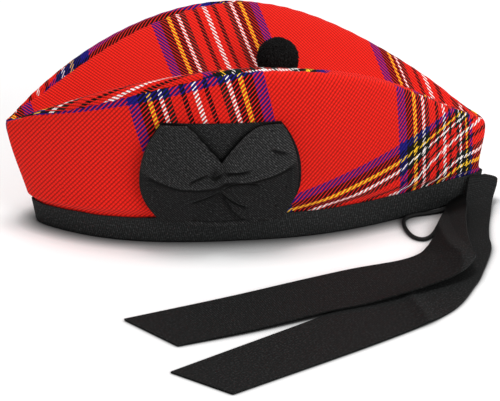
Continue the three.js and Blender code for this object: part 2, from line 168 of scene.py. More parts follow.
# %% Which yarn shows
# The darker of two yarns is drawn wider, a painted shade: it looks wider because the furrows beside it are
# dark as well, in shade. White and yellow yarns stand out from the cloth instead, most of all those that run
# along the cap.
RIB_SPACING = 2.8  # along a thread; real ribs are nearer 1.2 mm, drawn coarser so that they show
RIB_STRAY, RIB_STRAY_GRAIN = 0.5, 0.35  # how far a rib strays, in mm, and how often in each mm
EVEN_SHARE, YARN_EDGE = 0.25, 0.06  # where two like yarns meet in a rib, and how soft their edge is
DARK_LEAD = 0.3  # how much wider a dark yarn looks than a paler one beside it
BRIGHT_FROM, BRIGHT_TO = 0.45, 0.7  # yarns paler than this, white and yellow, look wider themselves
BRIGHT_LEADS = (0.0, 0.08)  # across the cap and along it

weave_map = add(tartan, "UVMap", uv_map="weave")
weave_place = add(tartan, "SeparateXYZ", {0: weave_map})
stray = add(tartan, "TexNoise", {"Vector": weave_map, "Scale": RIB_STRAY_GRAIN, "Detail": 2.0})
slant = add(
    tartan, "Math", {0: weave_place.outputs["X"], 1: weave_place.outputs["Y"]}, operation="SUBTRACT")
uneven = add(tartan, "Math", {0: stray, 1: RIB_STRAY, 2: slant}, operation="MULTIPLY_ADD")
rib = add(tartan, "Math", {0: uneven, 1: RIB_SPACING / 2}, operation="PINGPONG")
rib_share = add(tartan, "Math", {0: rib, 1: RIB_SPACING}, operation="DIVIDE")
paleness, stands_out = [], []
for yarn, lead in zip(yarns, BRIGHT_LEADS):
    grey = add(tartan, "RGBToBW", {0: yarn})
    pale = add(tartan, "Math", {0: grey}, operation="SQRT")
    paleness.append(add(tartan, "Math", {0: pale, 1: BRIGHT_FROM}, operation="MINIMUM"))
    stands_out.append(add(tartan, "MapRange", {0: pale, 1: BRIGHT_FROM, 2: BRIGHT_TO, 3: 0.0, 4: lead}))
paler = add(tartan, "Math", {0: paleness[0], 1: paleness[1]}, operation="SUBTRACT")
dark_edge = add(tartan, "Math", {0: paler, 1: DARK_LEAD, 2: EVEN_SHARE}, operation="MULTIPLY_ADD")
leads = add(tartan, "Math", {0: stands_out[0], 1: stands_out[1]}, operation="ADD")
edge = add(tartan, "Math", {0: dark_edge, 1: leads}, operation="ADD")
over = add(tartan, "Math", {0: rib_share, 1: edge}, operation="SUBTRACT")
warp_shows = add(
    tartan, "MapRange", {0: over, 1: -YARN_EDGE, 2: YARN_EDGE}, interpolation_type="SMOOTHSTEP")
woven = add(tartan, "Mix", {0: warp_shows, 6: yarns[1], 7: yarns[0]}, data_type="RGBA")
print("ribs, mm apart:", RIB_SPACING)

# %% Rounded ribs
# Ribs are rounded: the shade in the furrow at one side of each is painted into the colour. Along a rib each
# yarn dips under the next, so the rib is a row of small beads, painted paler and darker in turn along it. The
# dye took unevenly, in patches of about 1 mm.
RIB_DEPTH = 0.25
FURROW_WIDTH, FURROW_DARK, FURROW_LIGHT = 0.3 * RIB_SPACING, 0.42, 1.12
BEAD_DARK, BEAD_LIGHT = 0.84, 1.14
DYE_GRAIN, DYE_FROM, DYE_TO, DYE_DARK, DYE_LIGHT = 0.9, 0.3, 0.7, 0.9, 1.06

beside = add(tartan, "Math", {0: uneven, 1: RIB_SPACING / 4}, operation="SUBTRACT")
off_furrow = add(tartan, "Math", {0: beside, 1: RIB_SPACING / 2}, operation="PINGPONG")
furrow = add(
    tartan, "MapRange", {0: off_furrow, 1: 0.0, 2: FURROW_WIDTH, 3: FURROW_DARK, 4: FURROW_LIGHT},
    interpolation_type="SMOOTHSTEP")
down_rib = add(
    tartan, "Math", {0: weave_place.outputs["X"], 1: weave_place.outputs["Y"]}, operation="ADD")
bead = add(tartan, "Math", {0: down_rib, 1: RIB_SPACING / 2}, operation="PINGPONG")
bead_shade = add(tartan, "MapRange", {0: bead, 1: 0.0, 2: RIB_SPACING / 2, 3: BEAD_DARK, 4: BEAD_LIGHT})
painted_rib_shade = add(tartan, "Math", {0: furrow, 1: bead_shade}, operation="MULTIPLY")
dye = add(tartan, "TexNoise", {"Vector": weave_map, "Scale": DYE_GRAIN, "Detail": 3.0})
dye_shade = add(tartan, "MapRange", {0: dye, 1: DYE_FROM, 2: DYE_TO, 3: DYE_DARK, 4: DYE_LIGHT})
# painted rib shade, times the dye's uneven tone
shade = add(tartan, "Math", {0: painted_rib_shade, 1: dye_shade}, operation="MULTIPLY")
cloth_colour = add(
    tartan, "Mix", {0: 1.0, 6: woven.outputs[2], 7: shade}, data_type="RGBA", blend_type="MULTIPLY")
cloth_height = add(tartan, "Math", {0: rib, 1: dye}, operation="ADD")
cloth_bump = add(tartan, "Bump", {"Strength": 0.5, "Distance": RIB_DEPTH * MM, "Height": cloth_height})
cloth_shader = add(tartan, "BsdfPrincipled", {
    "Base Color": cloth_colour.outputs[2], "Roughness": 0.9, "Specular IOR Level": 0.15,
    "Sheen Weight": 0.03, "Sheen Roughness": 0.5, "Normal": cloth_bump,
})
add(tartan, "OutputMaterial", {"Surface": cloth_shader})
print("nodes in the tartan:", len(tartan.node_tree.nodes))

# %% [markdown]
# ## Ribbon, wool and elastic
#
# The binding and tails are black grosgrain, a ribbon with fine ribs across it, nearly matt. The cockade's
# ribbon is a twill of fine slanting threads. On both, each thread is painted paler along its middle, a
# painted sheen of the kind that shows where the ribbon faces the light. The toorie is dyed wool yarn clipped
# to a ball, which takes in almost all light. The elastic is a thin braid over a rubber core.

# %% Ribbon
THREAD_STRAY, THREAD_GRAIN = 1.2, 0.8  # how far a thread strays, in mm, and how often in each mm
# The ramp paints each thread paler along its middle, a painted sheen, and darker between threads, a painted
# shade.
THREAD_DARK, THREAD_PALE = 0.1, 0.6  # where the ramp from dark to pale starts and ends
THREAD_DEPTH = 0.15
FIBRE_GRAIN, FIBRE_FROM, FIBRE_TO, FIBRE_DARK, FIBRE_LIGHT = 0.9, 0.5, 0.72, 0.85, 2.4
# Real threads are about 0.6 mm apart on both ribbons, drawn coarser so that they show.
GROSGRAIN_SPACING, TWILL_SPACING, TWILL_SLANT = 1.2, 1.5, 1.0


def ribbon_cloth(name, spacing, slant, dark, pale):
    """A ribbon with threads at that spacing, each moved along by slant mm for every mm across. A thread is
    painted pale along its middle, a painted sheen, and dark between it and the next, a painted shade, and
    noise makes it patchy. Loose fibre ends are paler specks about 1 mm across. A UV map of painted light and
    shade says how
    much light reaches a place: 1 where the ribbon lies open, almost 0 deep in a crease, more for a highlight."""
    material = new_material(name)
    place = add(material, "UVMap", uv_map="weave")
    split = add(material, "SeparateXYZ", {0: place})
    noise = add(material, "TexNoise", {"Vector": place, "Scale": THREAD_GRAIN, "Detail": 4.0})
    slanted = add(
        material, "Math", {0: split.outputs["Y"], 1: slant, 2: split.outputs["X"]}, operation="MULTIPLY_ADD")
    uneven = add(material, "Math", {0: noise, 1: THREAD_STRAY, 2: slanted}, operation="MULTIPLY_ADD")
    thread = add(material, "Math", {0: uneven, 1: spacing / 2}, operation="PINGPONG")
    thread_share = add(material, "Math", {0: thread, 1: spacing / 2}, operation="DIVIDE")
    patchy = add(material, "Math", {0: thread_share, 1: noise}, operation="MULTIPLY")
    ramp = add(material, "ValToRGB", {0: patchy})
    set_stops(ramp, ((THREAD_DARK, dark), (THREAD_PALE, pale)))
    bump = add(material, "Bump", {"Strength": 0.35, "Distance": THREAD_DEPTH * MM, "Height": patchy})
    # Painted light and shade, read from a UV map: painted shade in creases, tucks and shadows, and painted
    # highlights on fold edges.
    painted_light = add(material, "UVMap", uv_map="painted_light")
    light = add(material, "SeparateXYZ", {0: painted_light})
    fibre = add(material, "TexNoise", {"Vector": place, "Scale": FIBRE_GRAIN, "Detail": 1.0})
    specks = add(
        material, "MapRange", {0: fibre, 1: FIBRE_FROM, 2: FIBRE_TO, 3: FIBRE_DARK, 4: FIBRE_LIGHT})
    shade = add(material, "Math", {0: light.outputs["X"], 1: specks}, operation="MULTIPLY")
    shaded = add(
        material, "Mix", {0: 1.0, 6: ramp, 7: shade}, data_type="RGBA", blend_type="MULTIPLY")
    shader = add(material, "BsdfPrincipled", {
        "Base Color": shaded.outputs[2], "Roughness": 0.7, "Specular IOR Level": 0.1, "Normal": bump,
    })
    add(material, "OutputMaterial", {"Surface": shader})
    return material


grosgrain = ribbon_cloth("black grosgrain ribbon", GROSGRAIN_SPACING, 0.0, "#181919", "#2F3030")
twill_ribbon = ribbon_cloth("black twill ribbon", TWILL_SPACING, TWILL_SLANT, "#0F0F0F", "#484848")
print("ribbons:", grosgrain.name, "and", twill_ribbon.name)

# %% Wool and elastic
WOOL_GRAIN = 0.9  # changes of shade in each mm, about the width of the yarn
BRAID_GRAIN, BRAID_DEPTH = 1.6, 0.2  # checks in each mm

wool = new_material("clipped black wool yarn")
wool_place = add(wool, "TexCoord")
wool_noise = add(
    wool, "TexNoise", {"Vector": wool_place.outputs["Object"], "Scale": WOOL_GRAIN / MM, "Detail": 3.0})
wool_ramp = add(wool, "ValToRGB", {0: wool_noise})
set_stops(wool_ramp, ((0.35, "#050505"), (0.7, "#141313")))
wool_shader = add(wool, "BsdfPrincipled", {
    "Base Color": wool_ramp, "Roughness": 0.95, "Specular IOR Level": 0.1,
    "Sheen Weight": 0.05, "Sheen Roughness": 0.6,
})
add(wool, "OutputMaterial", {"Surface": wool_shader})

elastic = new_material("braided black elastic")
elastic_map = add(elastic, "UVMap", uv_map="weave")
braid = add(elastic, "TexChecker", {
    "Vector": elastic_map, "Scale": BRAID_GRAIN, "Color1": linear("#060606"), "Color2": linear("#151515")})
elastic_bump = add(
    elastic, "Bump", {"Strength": 0.4, "Distance": BRAID_DEPTH * MM, "Height": braid.outputs["Fac"]})
elastic_shader = add(elastic, "BsdfPrincipled", {
    "Base Color": braid, "Roughness": 0.7, "Specular IOR Level": 0.3, "Normal": elastic_bump})
add(elastic, "OutputMaterial", {"Surface": elastic_shader})
print("wool and elastic:", wool.name, "and", elastic.name)

# %% [markdown]
# ## From grids to pieces
#
# Every piece here is a grid of points. A sheet of cloth is two grids, its face and its back, joined round the
# edge, so that the wall is a closed solid of real thickness. One function lists the quads, and another puts
# points, quads and UV maps into a mesh, hangs it on the root body and hides the solid that it stands for.

# %% From grids to pieces


def quads(grid):
    """The quads of a grid of point numbers: each cell's four corners, in turning order."""
    corners = (grid[:-1, :-1], grid[1:, :-1], grid[1:, 1:], grid[:-1, 1:])
    return np.stack(corners, -1).reshape(-1, 4)


def closed_ring(grid, axis):
    """A grid of point numbers with its first line repeated after its last, so that the quads close a ring."""
    return np.concatenate([grid, np.take(grid, [0], axis)], axis)


def closed_sheet(face, back):
    """Points and quads of the wall between two grids: both grids, and a strip along each of four edges."""
    columns, rows = face.shape[:2]
    top, under = np.arange(2 * columns * rows).reshape(2, columns, rows)
    edges = (
        np.stack([under[:, 0], top[:, 0]], 1), np.stack([top[:, -1], under[:, -1]], 1),
        np.stack([top[0], under[0]], 1), np.stack([under[-1], top[-1]], 1),
    )
    faces = [quads(top), quads(under)[:, ::-1]] + [quads(edge) for edge in edges]
    return np.concatenate([face.reshape(-1, 3), back.reshape(-1, 3)]), np.concatenate(faces)


TINY = 1e-9


def unit(vectors):
    """The same directions with a length of 1. A vector without a direction stays 0."""
    return vectors / np.maximum(np.linalg.norm(vectors, axis=-1, keepdims=True), TINY)


def normals(points):
    """Unit normals of a grid: the cross product of its two directions."""
    return unit(np.cross(np.gradient(points, axis=0), np.gradient(points, axis=1)))


def run(points, axis):
    """Arc length along a grid's lines: the running sum of the distances between neighbours."""
    steps = np.linalg.norm(np.diff(points, axis=axis), axis=-1)
    start = np.zeros_like(np.take(steps, [0], axis=axis))
    return np.concatenate([start, np.cumsum(steps, axis=axis)], axis=axis)


def ribbon_maps(flat, light, copies):
    """UV maps of a ribbon: where a point is on the flat ribbon, and the painted light and shade on it."""
    painted_light = np.stack([light, 0 * light], -1)
    return {"weave": np.stack([flat] * copies), "painted_light": np.stack([painted_light] * copies)}


SHARP = np.radians(55)


def make_piece(name, points, faces, material, maps, node):
    """Puts points in mm, faces and per-point UV maps into a mesh whose faces look outwards."""
    a, b, c = (points[faces[:, k]] for k in (0, 1, 2))
    d = points[faces[:, -1]]
    volume = (a * (np.cross(b, c) + np.cross(c, d))).sum()
    if volume < 0:
        faces = faces[:, ::-1]
    mesh = bpy.data.meshes.new(name)
    mesh.from_pydata(points * MM, [], faces.tolist())
    corner = np.zeros(len(mesh.loops), np.int32)
    mesh.loops.foreach_get("vertex_index", corner)
    for map_name, values in maps.items():
        layer = mesh.uv_layers.new(name=map_name)
        layer.uv.foreach_set("vector", values.reshape(-1, 2)[corner].astype(np.float32).ravel())
    mesh.polygons.foreach_set("use_smooth", np.ones(len(mesh.polygons), bool))
    mesh.set_sharp_from_angle(angle=SHARP)
    mesh.materials.append(material)
    mesh.validate()
    piece = bpy.data.objects.new(name, mesh)
    scene.collection.objects.link(piece)
    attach(piece, "root")
    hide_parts(node)
    print(f"{name}: {len(mesh.polygons)} faces, {abs(volume) / 6 / 1000:.1f} cm3")
    return piece


# %% [markdown]
# ## Elastic loop
#
# A thin round elastic shows beside the tails. It leaves the back of the binding on the inside, lies on the
# floor in a small loop and goes back. It is a circle carried along a smooth path through a few points, the
# same ones that the solid model has.

# %% Elastic loop
ELASTIC_DIAMETER = 2.0
ELASTIC_STEPS, ELASTIC_SIDES = 160, 12
BRAID_ROUND = 5.0  # what the braid's pattern measures round the elastic
ELASTIC_ROUTE = np.array([
    (113.2, -12.5, 1.2), (111.0, -15.2, 1.1), (108.2, -17.7, 1.05), (104.2, -20.2, 1.05),
    (97.0, -22.0, 1.05), (89.6, -23.1, 1.05), (84.8, -25.0, 1.05), (82.0, -28.1, 1.05),
    (80.7, -32.8, 1.05), (80.5, -39.5, 1.05), (81.7, -46.6, 1.05), (84.2, -52.0, 1.05),
    (88.2, -54.2, 1.05), (92.6, -51.7, 1.05), (96.4, -45.8, 1.05), (100.0, -38.0, 1.05),
    (103.6, -29.5, 1.05), (107.4, -22.0, 1.05), (111.2, -17.4, 1.05), (114.4, -14.0, 1.1),
    (117.0, -11.0, 1.2),
])


def smooth_path(points, count):
    """A curve through the points: between two of them, a cubic whose slopes are half the step from the point
    before to the point after."""
    padded = np.concatenate([2 * points[:1] - points[1:2], points, 2 * points[-1:] - points[-2:-1]])
    place = np.linspace(0, len(points) - 1, count)
    first = np.minimum(place.astype(int), len(points) - 2)
    t = (place - first)[:, None]
    a, b, c, d = (padded[first + k] for k in range(4))
    return b + t * ((c - a) + t * ((2 * a - 5 * b + 4 * c - d) + t * (3 * (b - c) + d - a))) / 2


def tube(path, radius, sides):
    """A circle carried along a path: at each point it stands across the path, one axis kept level."""
    ahead = unit(np.gradient(path, axis=0))
    level = unit(np.cross(ahead, [0, 0, 1]))
    upright = np.cross(level, ahead)
    turn = np.linspace(0, 2 * np.pi, sides + 1)[None, :, None]
    return path[:, None] + radius * (np.cos(turn) * level[:, None] + np.sin(turn) * upright[:, None])


elastic_path = smooth_path(ELASTIC_ROUTE, ELASTIC_STEPS)
elastic_skin = tube(elastic_path, ELASTIC_DIAMETER / 2, ELASTIC_SIDES)
elastic_run = run(elastic_path, 0)
elastic_length = elastic_run[-1]
wrapped = closed_ring(np.arange(ELASTIC_STEPS * ELASTIC_SIDES).reshape(ELASTIC_STEPS, ELASTIC_SIDES), 1)
elastic_points = np.concatenate([elastic_skin[:, :-1].reshape(-1, 3), elastic_path[[0, -1]]])
start_middle, end_middle = (np.full(ELASTIC_SIDES, len(elastic_points) - k) for k in (2, 1))
start_cap = np.stack([wrapped[0, :-1], wrapped[0, 1:], start_middle], -1)
end_cap = np.stack([wrapped[-1, 1:], wrapped[-1, :-1], end_middle], -1)
walls = quads(wrapped)
elastic_faces = np.concatenate([walls[:, [0, 1, 2]], walls[:, [0, 2, 3]], start_cap, end_cap])
along = np.repeat(elastic_run[:, None], ELASTIC_SIDES, 1)
around = np.repeat(np.linspace(0, BRAID_ROUND, ELASTIC_SIDES)[None], ELASTIC_STEPS, 0)
elastic_uv = np.concatenate([np.stack([along, around], -1).reshape(-1, 2), [[0, 0], [elastic_length, 0]]])
elastic_loop = make_piece(
    "elastic_loop_braid", elastic_points, elastic_faces, elastic, {"weave": elastic_uv},
    "elastic_loop")
print("elastic, mm:", round(float(elastic_length), 1))

# %% [markdown]
# ## The shape of the cap
#
# The cap stands on its binding, an oval that is long and narrow because the empty sides fall together. From
# the binding the sides rise and lean out to a crest on each side, and between the crests the top sinks into a
# lengthwise crease. Two numbers place a point: the angle round the oval, 0 at the front and half a turn at
# the back, and a height that is 0 to 1 inside the binding, 1 to 2 up the side and 2 to 3 down into the
# crease.

# %% The shape of the cap
OPENING_LENGTH = 260.0
OPENING_HALF_WIDTH = 41.8
OPENING_ROUNDNESS = 0.63
FRONT_FULLNESS = 0.55
BACK_NARROWING, BACK_NARROWING_POWER = 0.4, 2.5
END_INSET = 1.4
CLOTH = 2.0
GAP = 0.3
CLOTH_INSET = 1.3
BINDING_HEIGHT = 17.0
BINDING_FLARE = 2.0
BINDING_FRONT_DROP = 3.0
HEM_Z = 1.3
TIP_X, TIP_Z = -144.1, 64.5
BACK_X, BACK_Z = 130.2, 50.5
CREST_Z = 110.0
CREST_HALF_WIDTH = 48.0
LEFT_LIFT, RIGHT_LIFT = (3.2, 1.6, 2.6), (1.8, 0.3, 2.2)  # height, and the angles it lies between
FRONT_OPENING_POWER, BACK_OPENING_POWER, BACK_FALL_POWER = 1.7, 2.2, 1.68
VALLEY_DEPTH, VALLEY_FLOOR = 27.0, 16.0
SHOULDER_OUT, SHOULDER_IN = 10.0, 10.0
FRONT_ROUND, FRONT_ROUND_POWER = 6.0, 24
BACK_ROUND, BACK_ROUND_POWER = 8.5, 8
WALL_RISE = 0.35
PUFF, PUFF_SHARE = 3.5, 0.08


def ease(value, low=0.0, high=1.0):
    """0 below low, 1 above high, and 3t^2 - 2t^3 between them."""
    t = np.clip((value - low) / (high - low), 0, 1)
    return t * t * (3 - 2 * t)


def oval(angle, inset, z=0.0):
    """The oval of the binding, moved inwards by inset and leaning out a little with z: x is a cosine, and y
    mixes a sine with its cube, fuller in the front half and slimmer towards the back."""
    inset = inset - BINDING_FLARE * z / BINDING_HEIGHT
    s, c = np.sin(angle), np.cos(angle)
    x = -(OPENING_LENGTH / 2 - END_INSET * inset) * c
    round_part = OPENING_ROUNDNESS * s + (1 - OPENING_ROUNDNESS) * s**3
    fuller = FRONT_FULLNESS * np.clip(c, 0, None) ** 2 * (1 - c**4)
    slimmer = BACK_NARROWING * np.clip(-c, 0, None) ** BACK_NARROWING_POWER
    return x, (OPENING_HALF_WIDTH - inset) * round_part * (1 + fuller - slimmer)


def binding_top(angle):
    """Height of the binding's upper edge: lower at the front by a squared cosine."""
    return BINDING_HEIGHT - BINDING_FRONT_DROP * np.clip(np.cos(angle), 0, None) ** 2


def opened_at(angle):
    """How far the two crests stand apart, 0 to 1: a power of the sine, other in front than behind."""
    s = np.clip(np.sin(angle), 0, None)
    return np.where(np.cos(angle) > 0, s**FRONT_OPENING_POWER, s**BACK_OPENING_POWER)


def bezier(a, b, c, d, t):
    """A cubic from a to d that starts towards b and arrives from c."""
    t = t[..., None]
    return a * (1 - t) ** 3 + 3 * b * t * (1 - t) ** 2 + 3 * c * t**2 * (1 - t) + d * t**3


def cloth_point(angle, height, inset=CLOTH_INSET):
    """A point of the cloth on the right half: straight in the binding, a cubic up to the crest with a puff
    just above the binding that dies out at the back, and a second cubic from the crest into the crease."""
    angle, height, inset = np.broadcast_arrays(angle, height, inset)
    ahead = np.cos(angle)
    behind = np.clip(-ahead, 0, None)
    depth = inset - CLOTH_INSET
    opened = opened_at(angle)
    none = np.zeros_like(opened)
    fall = np.where(ahead > 0, (CREST_Z - TIP_Z) * ahead**2, (CREST_Z - BACK_Z) * behind**BACK_FALL_POWER)
    crest_x = (TIP_X + BACK_X) / 2 - ((BACK_X - TIP_X) / 2 - END_INSET * depth) * ahead
    crest = np.stack([crest_x, CREST_HALF_WIDTH * opened, CREST_Z - fall - depth], -1)
    foot_z = binding_top(angle) + GAP
    foot = np.stack([*oval(angle, inset, foot_z), foot_z], -1)
    outward = unit(np.stack([-ahead / OPENING_LENGTH, np.sin(angle) / OPENING_HALF_WIDTH / 2, none], -1))
    shoulder = (SHOULDER_OUT - depth) * opened + BACK_ROUND * behind**BACK_ROUND_POWER
    shoulder = shoulder + FRONT_ROUND * np.clip(ahead, 0, None) ** FRONT_ROUND_POWER
    up = np.clip(height - 1, 0, 1)
    puff = PUFF * (1 - behind**BACK_ROUND_POWER) * ease(up / PUFF_SHARE) * (1 - up)
    brow = crest + outward * shoulder[..., None]
    wall = bezier(foot, foot + (crest - foot) * WALL_RISE, brow, crest, up) + outward * puff[..., None]
    valley_z = crest[..., 2] - VALLEY_DEPTH * opened
    lip = crest - np.stack([none, SHOULDER_IN * opened, none], -1)
    floor_edge = np.stack([crest_x, VALLEY_FLOOR * opened, valley_z], -1)
    valley = np.stack([crest_x, none, valley_z], -1)
    slope = bezier(crest, lip, floor_edge, valley, np.clip(height - 2, 0, 1))
    hem_z = HEM_Z + (foot_z - HEM_Z) * np.clip(height, 0, 1)
    hem = np.stack([*oval(angle, inset, hem_z), hem_z], -1)
    return np.where(height[..., None] <= 1, hem, np.where(height[..., None] <= 2, wall, slope))


def on_side(left, angle, height, inset=CLOTH_INSET):
    """A point of the cloth where one crest is lifted over a stretch by a squared sine, which dies out at the
    binding and in the crease. Y still counts outwards."""
    lift, start, end = (np.where(left, *pair) for pair in zip(LEFT_LIFT, RIGHT_LIFT))
    along = np.clip((angle - start) / (end - start), 0, 1)
    points = cloth_point(angle, height, inset).copy()
    points[..., 2] += lift * np.sin(np.pi * along) ** 2 * np.maximum(0, 1 - (height - 2) ** 2)
    return points


tip = cloth_point(np.array(0.0), np.array(2.0))
print("front tip of the cap, mm:", tip.round(1))

# %% [markdown]
# ## Seams and the lie of the tartan
#
# The crown seam of the left side runs just outside its crest over the front two thirds, and that of the right
# side slants from inside its crest to outside it. To lay the tartan, each panel is first rolled out flat, as
# a cutter would see it: a line along the panel is unbent, and each row of points is laid off at its true
# angle and length. Then a few measured stripes say how the sett is stretched on that panel.

# %% Seams and the lie of the tartan
LEFT_SEAM, LEFT_SEAM_END, LEFT_SEAM_POWER = 0.19, 1.8, 1.5
LEFT_LAY_END = 2.25  # the left tartan is laid as if its seam's bump ended here
RIGHT_SEAM_SLANT, RIGHT_SEAM_LOWEST = 0.4, -0.2
SEAM_CLOSING = 3.0


def closing(angle):
    """1 along the cap and 0 at its two ends, where the seams meet."""
    return np.minimum(1, SEAM_CLOSING * opened_at(angle))


def left_seam(angle, end=LEFT_SEAM_END):
    """Height of the left crown seam: the crest, less a bump, a power of a sine that ends at the angle end."""
    bump = np.sin(np.pi * np.minimum(1, angle / end)) ** LEFT_SEAM_POWER
    return 2 - LEFT_SEAM * bump * closing(angle)


def right_seam(angle):
    """Height of the right crown seam: the crest plus a slanting cosine, cut off below."""
    return 2 + np.maximum(RIGHT_SEAM_LOWEST, RIGHT_SEAM_SLANT * np.cos(angle)) * closing(angle)


def roll_out(points, middle):
    """Rolls a grid out flat along its row middle: the row's heading turns by its curvature within the
    surface, and each column is a straight line of true length at its true angle to the row."""
    line = points[:, middle]
    length = run(points, 0)[:, middle]
    ahead = unit(np.gradient(line, axis=0))
    column = points[:, middle + 2] - points[:, middle - 2]
    side = np.cross(unit(np.cross(ahead, column)), ahead)
    bend = (np.gradient(ahead, axis=0) / np.gradient(length)[:, None] * side).sum(1)
    steps = np.diff(length)
    heading = np.concatenate([[0], np.cumsum((bend[1:] + bend[:-1]) / 2 * steps)])
    half = np.searchsorted(length, length[-1] / 2)
    heading -= heading[half]
    mean_heading = (heading[1:] + heading[:-1]) / 2
    x = np.concatenate([[0], np.cumsum(np.cos(mean_heading) * steps)])
    y = np.concatenate([[0], np.cumsum(np.sin(mean_heading) * steps)])
    lean = np.arctan2((column * side).sum(1), (column * ahead).sum(1)) + heading
    off = run(points, 1)
    off = off - off[:, middle:middle + 1]
    flat_x = (x - x[half])[:, None] + off * np.cos(lean)[:, None]
    flat_y = (y - y[half])[:, None] + off * np.sin(lean)[:, None]
    return flat_x, flat_y


def look_up(value, table):
    """The second column of a table at a value of the first: straight between rows, level past both ends."""
    return np.interp(value, *np.array(table, float).T)


def stretch(value, knots):
    """The same, but carried on past both ends at true size."""
    first, last = knots[0][0], knots[-1][0]
    return look_up(value, knots) + np.minimum(value - first, 0) + np.maximum(value - last, 0)


# Where the stripes lie: pairs of a place on the rolled-out panel and a place in the sett.
LEFT_ACROSS = (
    (-160, -112), (-68.1, -38), (-28.3, 0), (8.4, 38), (82.5, 112), (94, 124.4), (100.3, 131),
    (115.5, 150.4), (127, 169.6), (131.7, 176), (135.5, 188.5),
)
LEFT_WHITE, LEFT_PURPLE = -76.3, -43.4  # the white pivot line along the panel, and the purple stripe above it
LEFT_ALONG = ((LEFT_WHITE, 0), (-60.5, 19.2), (-54.9, 25.4), (LEFT_PURPLE, 38), (42.3, 112), (75, 150))
LEFT_RISE = 0.2126
# By the place along the panel: how the upright stripes lean, how much tighter the stripes below the purple
# one lie, and how much looser those below the white line.
LEFT_LEAN = ((-25, 0.2), (50, 0.0), (100, -0.06))
LEFT_TIGHT = ((80, 1.0), (95, 1.2), (110, 1.5), (122, 1.7), (136, 1.75))
LEFT_LOOSE = ((98, 1.0), (115, 0.85), (136, 0.6))


def left_lie(p, q):
    """Tartan of the left panel: stripes up the side lean back in front and straighten behind, stripes along
    it climb to the back, and the lower group is drawn together there, less so below its white line."""
    across = p + q * look_up(p, LEFT_LEAN)
    along = q - LEFT_RISE * p
    along = along + np.minimum(along - LEFT_PURPLE, 0) * (look_up(p, LEFT_TIGHT) - 1)
    along = along + np.minimum(along - LEFT_WHITE, 0) * (look_up(p, LEFT_LOOSE) - 1)
    sett = np.stack([stretch(across, LEFT_ACROSS), stretch(along, LEFT_ALONG)], -1)
    return sett, np.stack([p, q], -1)


RIGHT_TURN = np.radians(23)
RIGHT_ACROSS_START, RIGHT_ALONG_START, RIGHT_ALONG_SCALE = 119.9, 81.5, 0.85


def right_lie(p, q):
    """Tartan of the right panel: the cloth turned as a whole."""
    across = p * np.cos(RIGHT_TURN) + q * np.sin(RIGHT_TURN)
    along = p * np.sin(RIGHT_TURN) - q * np.cos(RIGHT_TURN)
    sett = np.stack([across + RIGHT_ACROSS_START, RIGHT_ALONG_START + RIGHT_ALONG_SCALE * along], -1)
    return sett, np.stack([across, along], -1)


# %% [markdown]
# ## Side panels
#
# Each side is one piece of cloth from the binding to the crown seam. A perfectly even surface looks like
# plastic, so the face swells and dips by a fraction of a millimetre, and along every seam it rolls inwards as
# cloth does where its allowance is turned under.

# %% Side panels
PANEL_COLUMNS = 281
WALL_SHARES = np.union1d(np.linspace(0, 1, 65), np.linspace(0.94, 1, 10))  # closer together by the seam
HEM_ROWS = 4
FACE_FROM, FACE_FULL = 1.0, 1.08  # the heights between which the face starts to be uneven
INSIDE_CAP = (0, 0, 40)
FRONT_STRIP, FRONT_STRIPE = 2.4, -115.0  # the front seam is sewn just where a purple stripe begins
SEAM_DIP, SEAM_ROUND = 1.1, 1.7
SWELL, SWELL_FADE = 0.2, 14.0
SWELL_WAVES = ((21, 34, 1), (13, -19, 0), (37, 11, 2))  # mm along and up for each radian, and where it starts
PUCKER, PUCKER_SPACING, PUCKER_DRIFT, PUCKER_REACH = 0.18, 9.0, 17.0, 7.0


def uneven_cloth(p, q, to_seam):
    """How far the face stands out: three crossing sine waves, puckers along the seam, and a dip at it."""
    waves = sum(np.sin(p / along + q / up + begin) for along, up, begin in SWELL_WAVES)
    swell = SWELL * waves * ease(to_seam, 0, SWELL_FADE)
    pucker = PUCKER * np.sin(2 * np.pi * p / PUCKER_SPACING + np.sin(p / PUCKER_DRIFT))
    dip = SEAM_DIP * np.exp(-((to_seam / SEAM_ROUND) ** 2))
    return swell + pucker * np.exp(-to_seam / PUCKER_REACH) - dip


def side_panel(name, node, side, seam, middle_height, middle_share, lie):
    """One side, on the half given by side. Its rows share out the way from the binding to the line that is
    unbent, and from that line to the seam."""
    angle = np.linspace(0, np.pi, PANEL_COLUMNS)[:, None]
    middle = middle_height(angle)
    lower = 1 + (middle - 1) * WALL_SHARES / middle_share
    upper = middle + (seam(angle) - middle) * (WALL_SHARES - middle_share) / (1 - middle_share)
    wall = np.where(WALL_SHARES < middle_share, lower, upper)
    hem = np.linspace(0, 1, HEM_ROWS, endpoint=False) + 0 * angle
    height = np.concatenate([hem, wall], 1)
    face = on_side(side < 0, angle, height)
    back = on_side(side < 0, angle, height, CLOTH_INSET + CLOTH)
    middle_row = HEM_ROWS + int(np.argmin(np.abs(WALL_SHARES - middle_share)))
    p, q = roll_out(face, middle_row)
    sett, weave = lie(p, q)
    up = run(face, 1)
    to_crown = up[:, -1:] - up
    to_front = run(face, 0)
    sett[..., 0] = np.where(to_front < FRONT_STRIP, FRONT_STRIPE, sett[..., 0])
    to_back = to_front[-1:] - to_front
    to_seam = np.minimum(np.minimum(to_crown, to_front), to_back)
    outward = normals(face)
    outward = outward * np.sign((outward * (face - INSIDE_CAP)).sum())
    shown = ease(height, FACE_FROM, FACE_FULL)[..., None]
    face = face + outward * shown * uneven_cloth(p, q, to_seam)[..., None]
    for layer in (face, back):
        layer[..., 1] = side * np.maximum(layer[..., 1], GAP / 2)
    points, faces = closed_sheet(face, back)
    maps = {"sett": np.stack([sett, sett]), "weave": np.stack([weave, weave])}
    print(f"{name} rolled out, mm: {np.ptp(p):.0f} x {np.ptp(q):.0f}")
    make_piece(name, points, faces, tartan, maps, node)


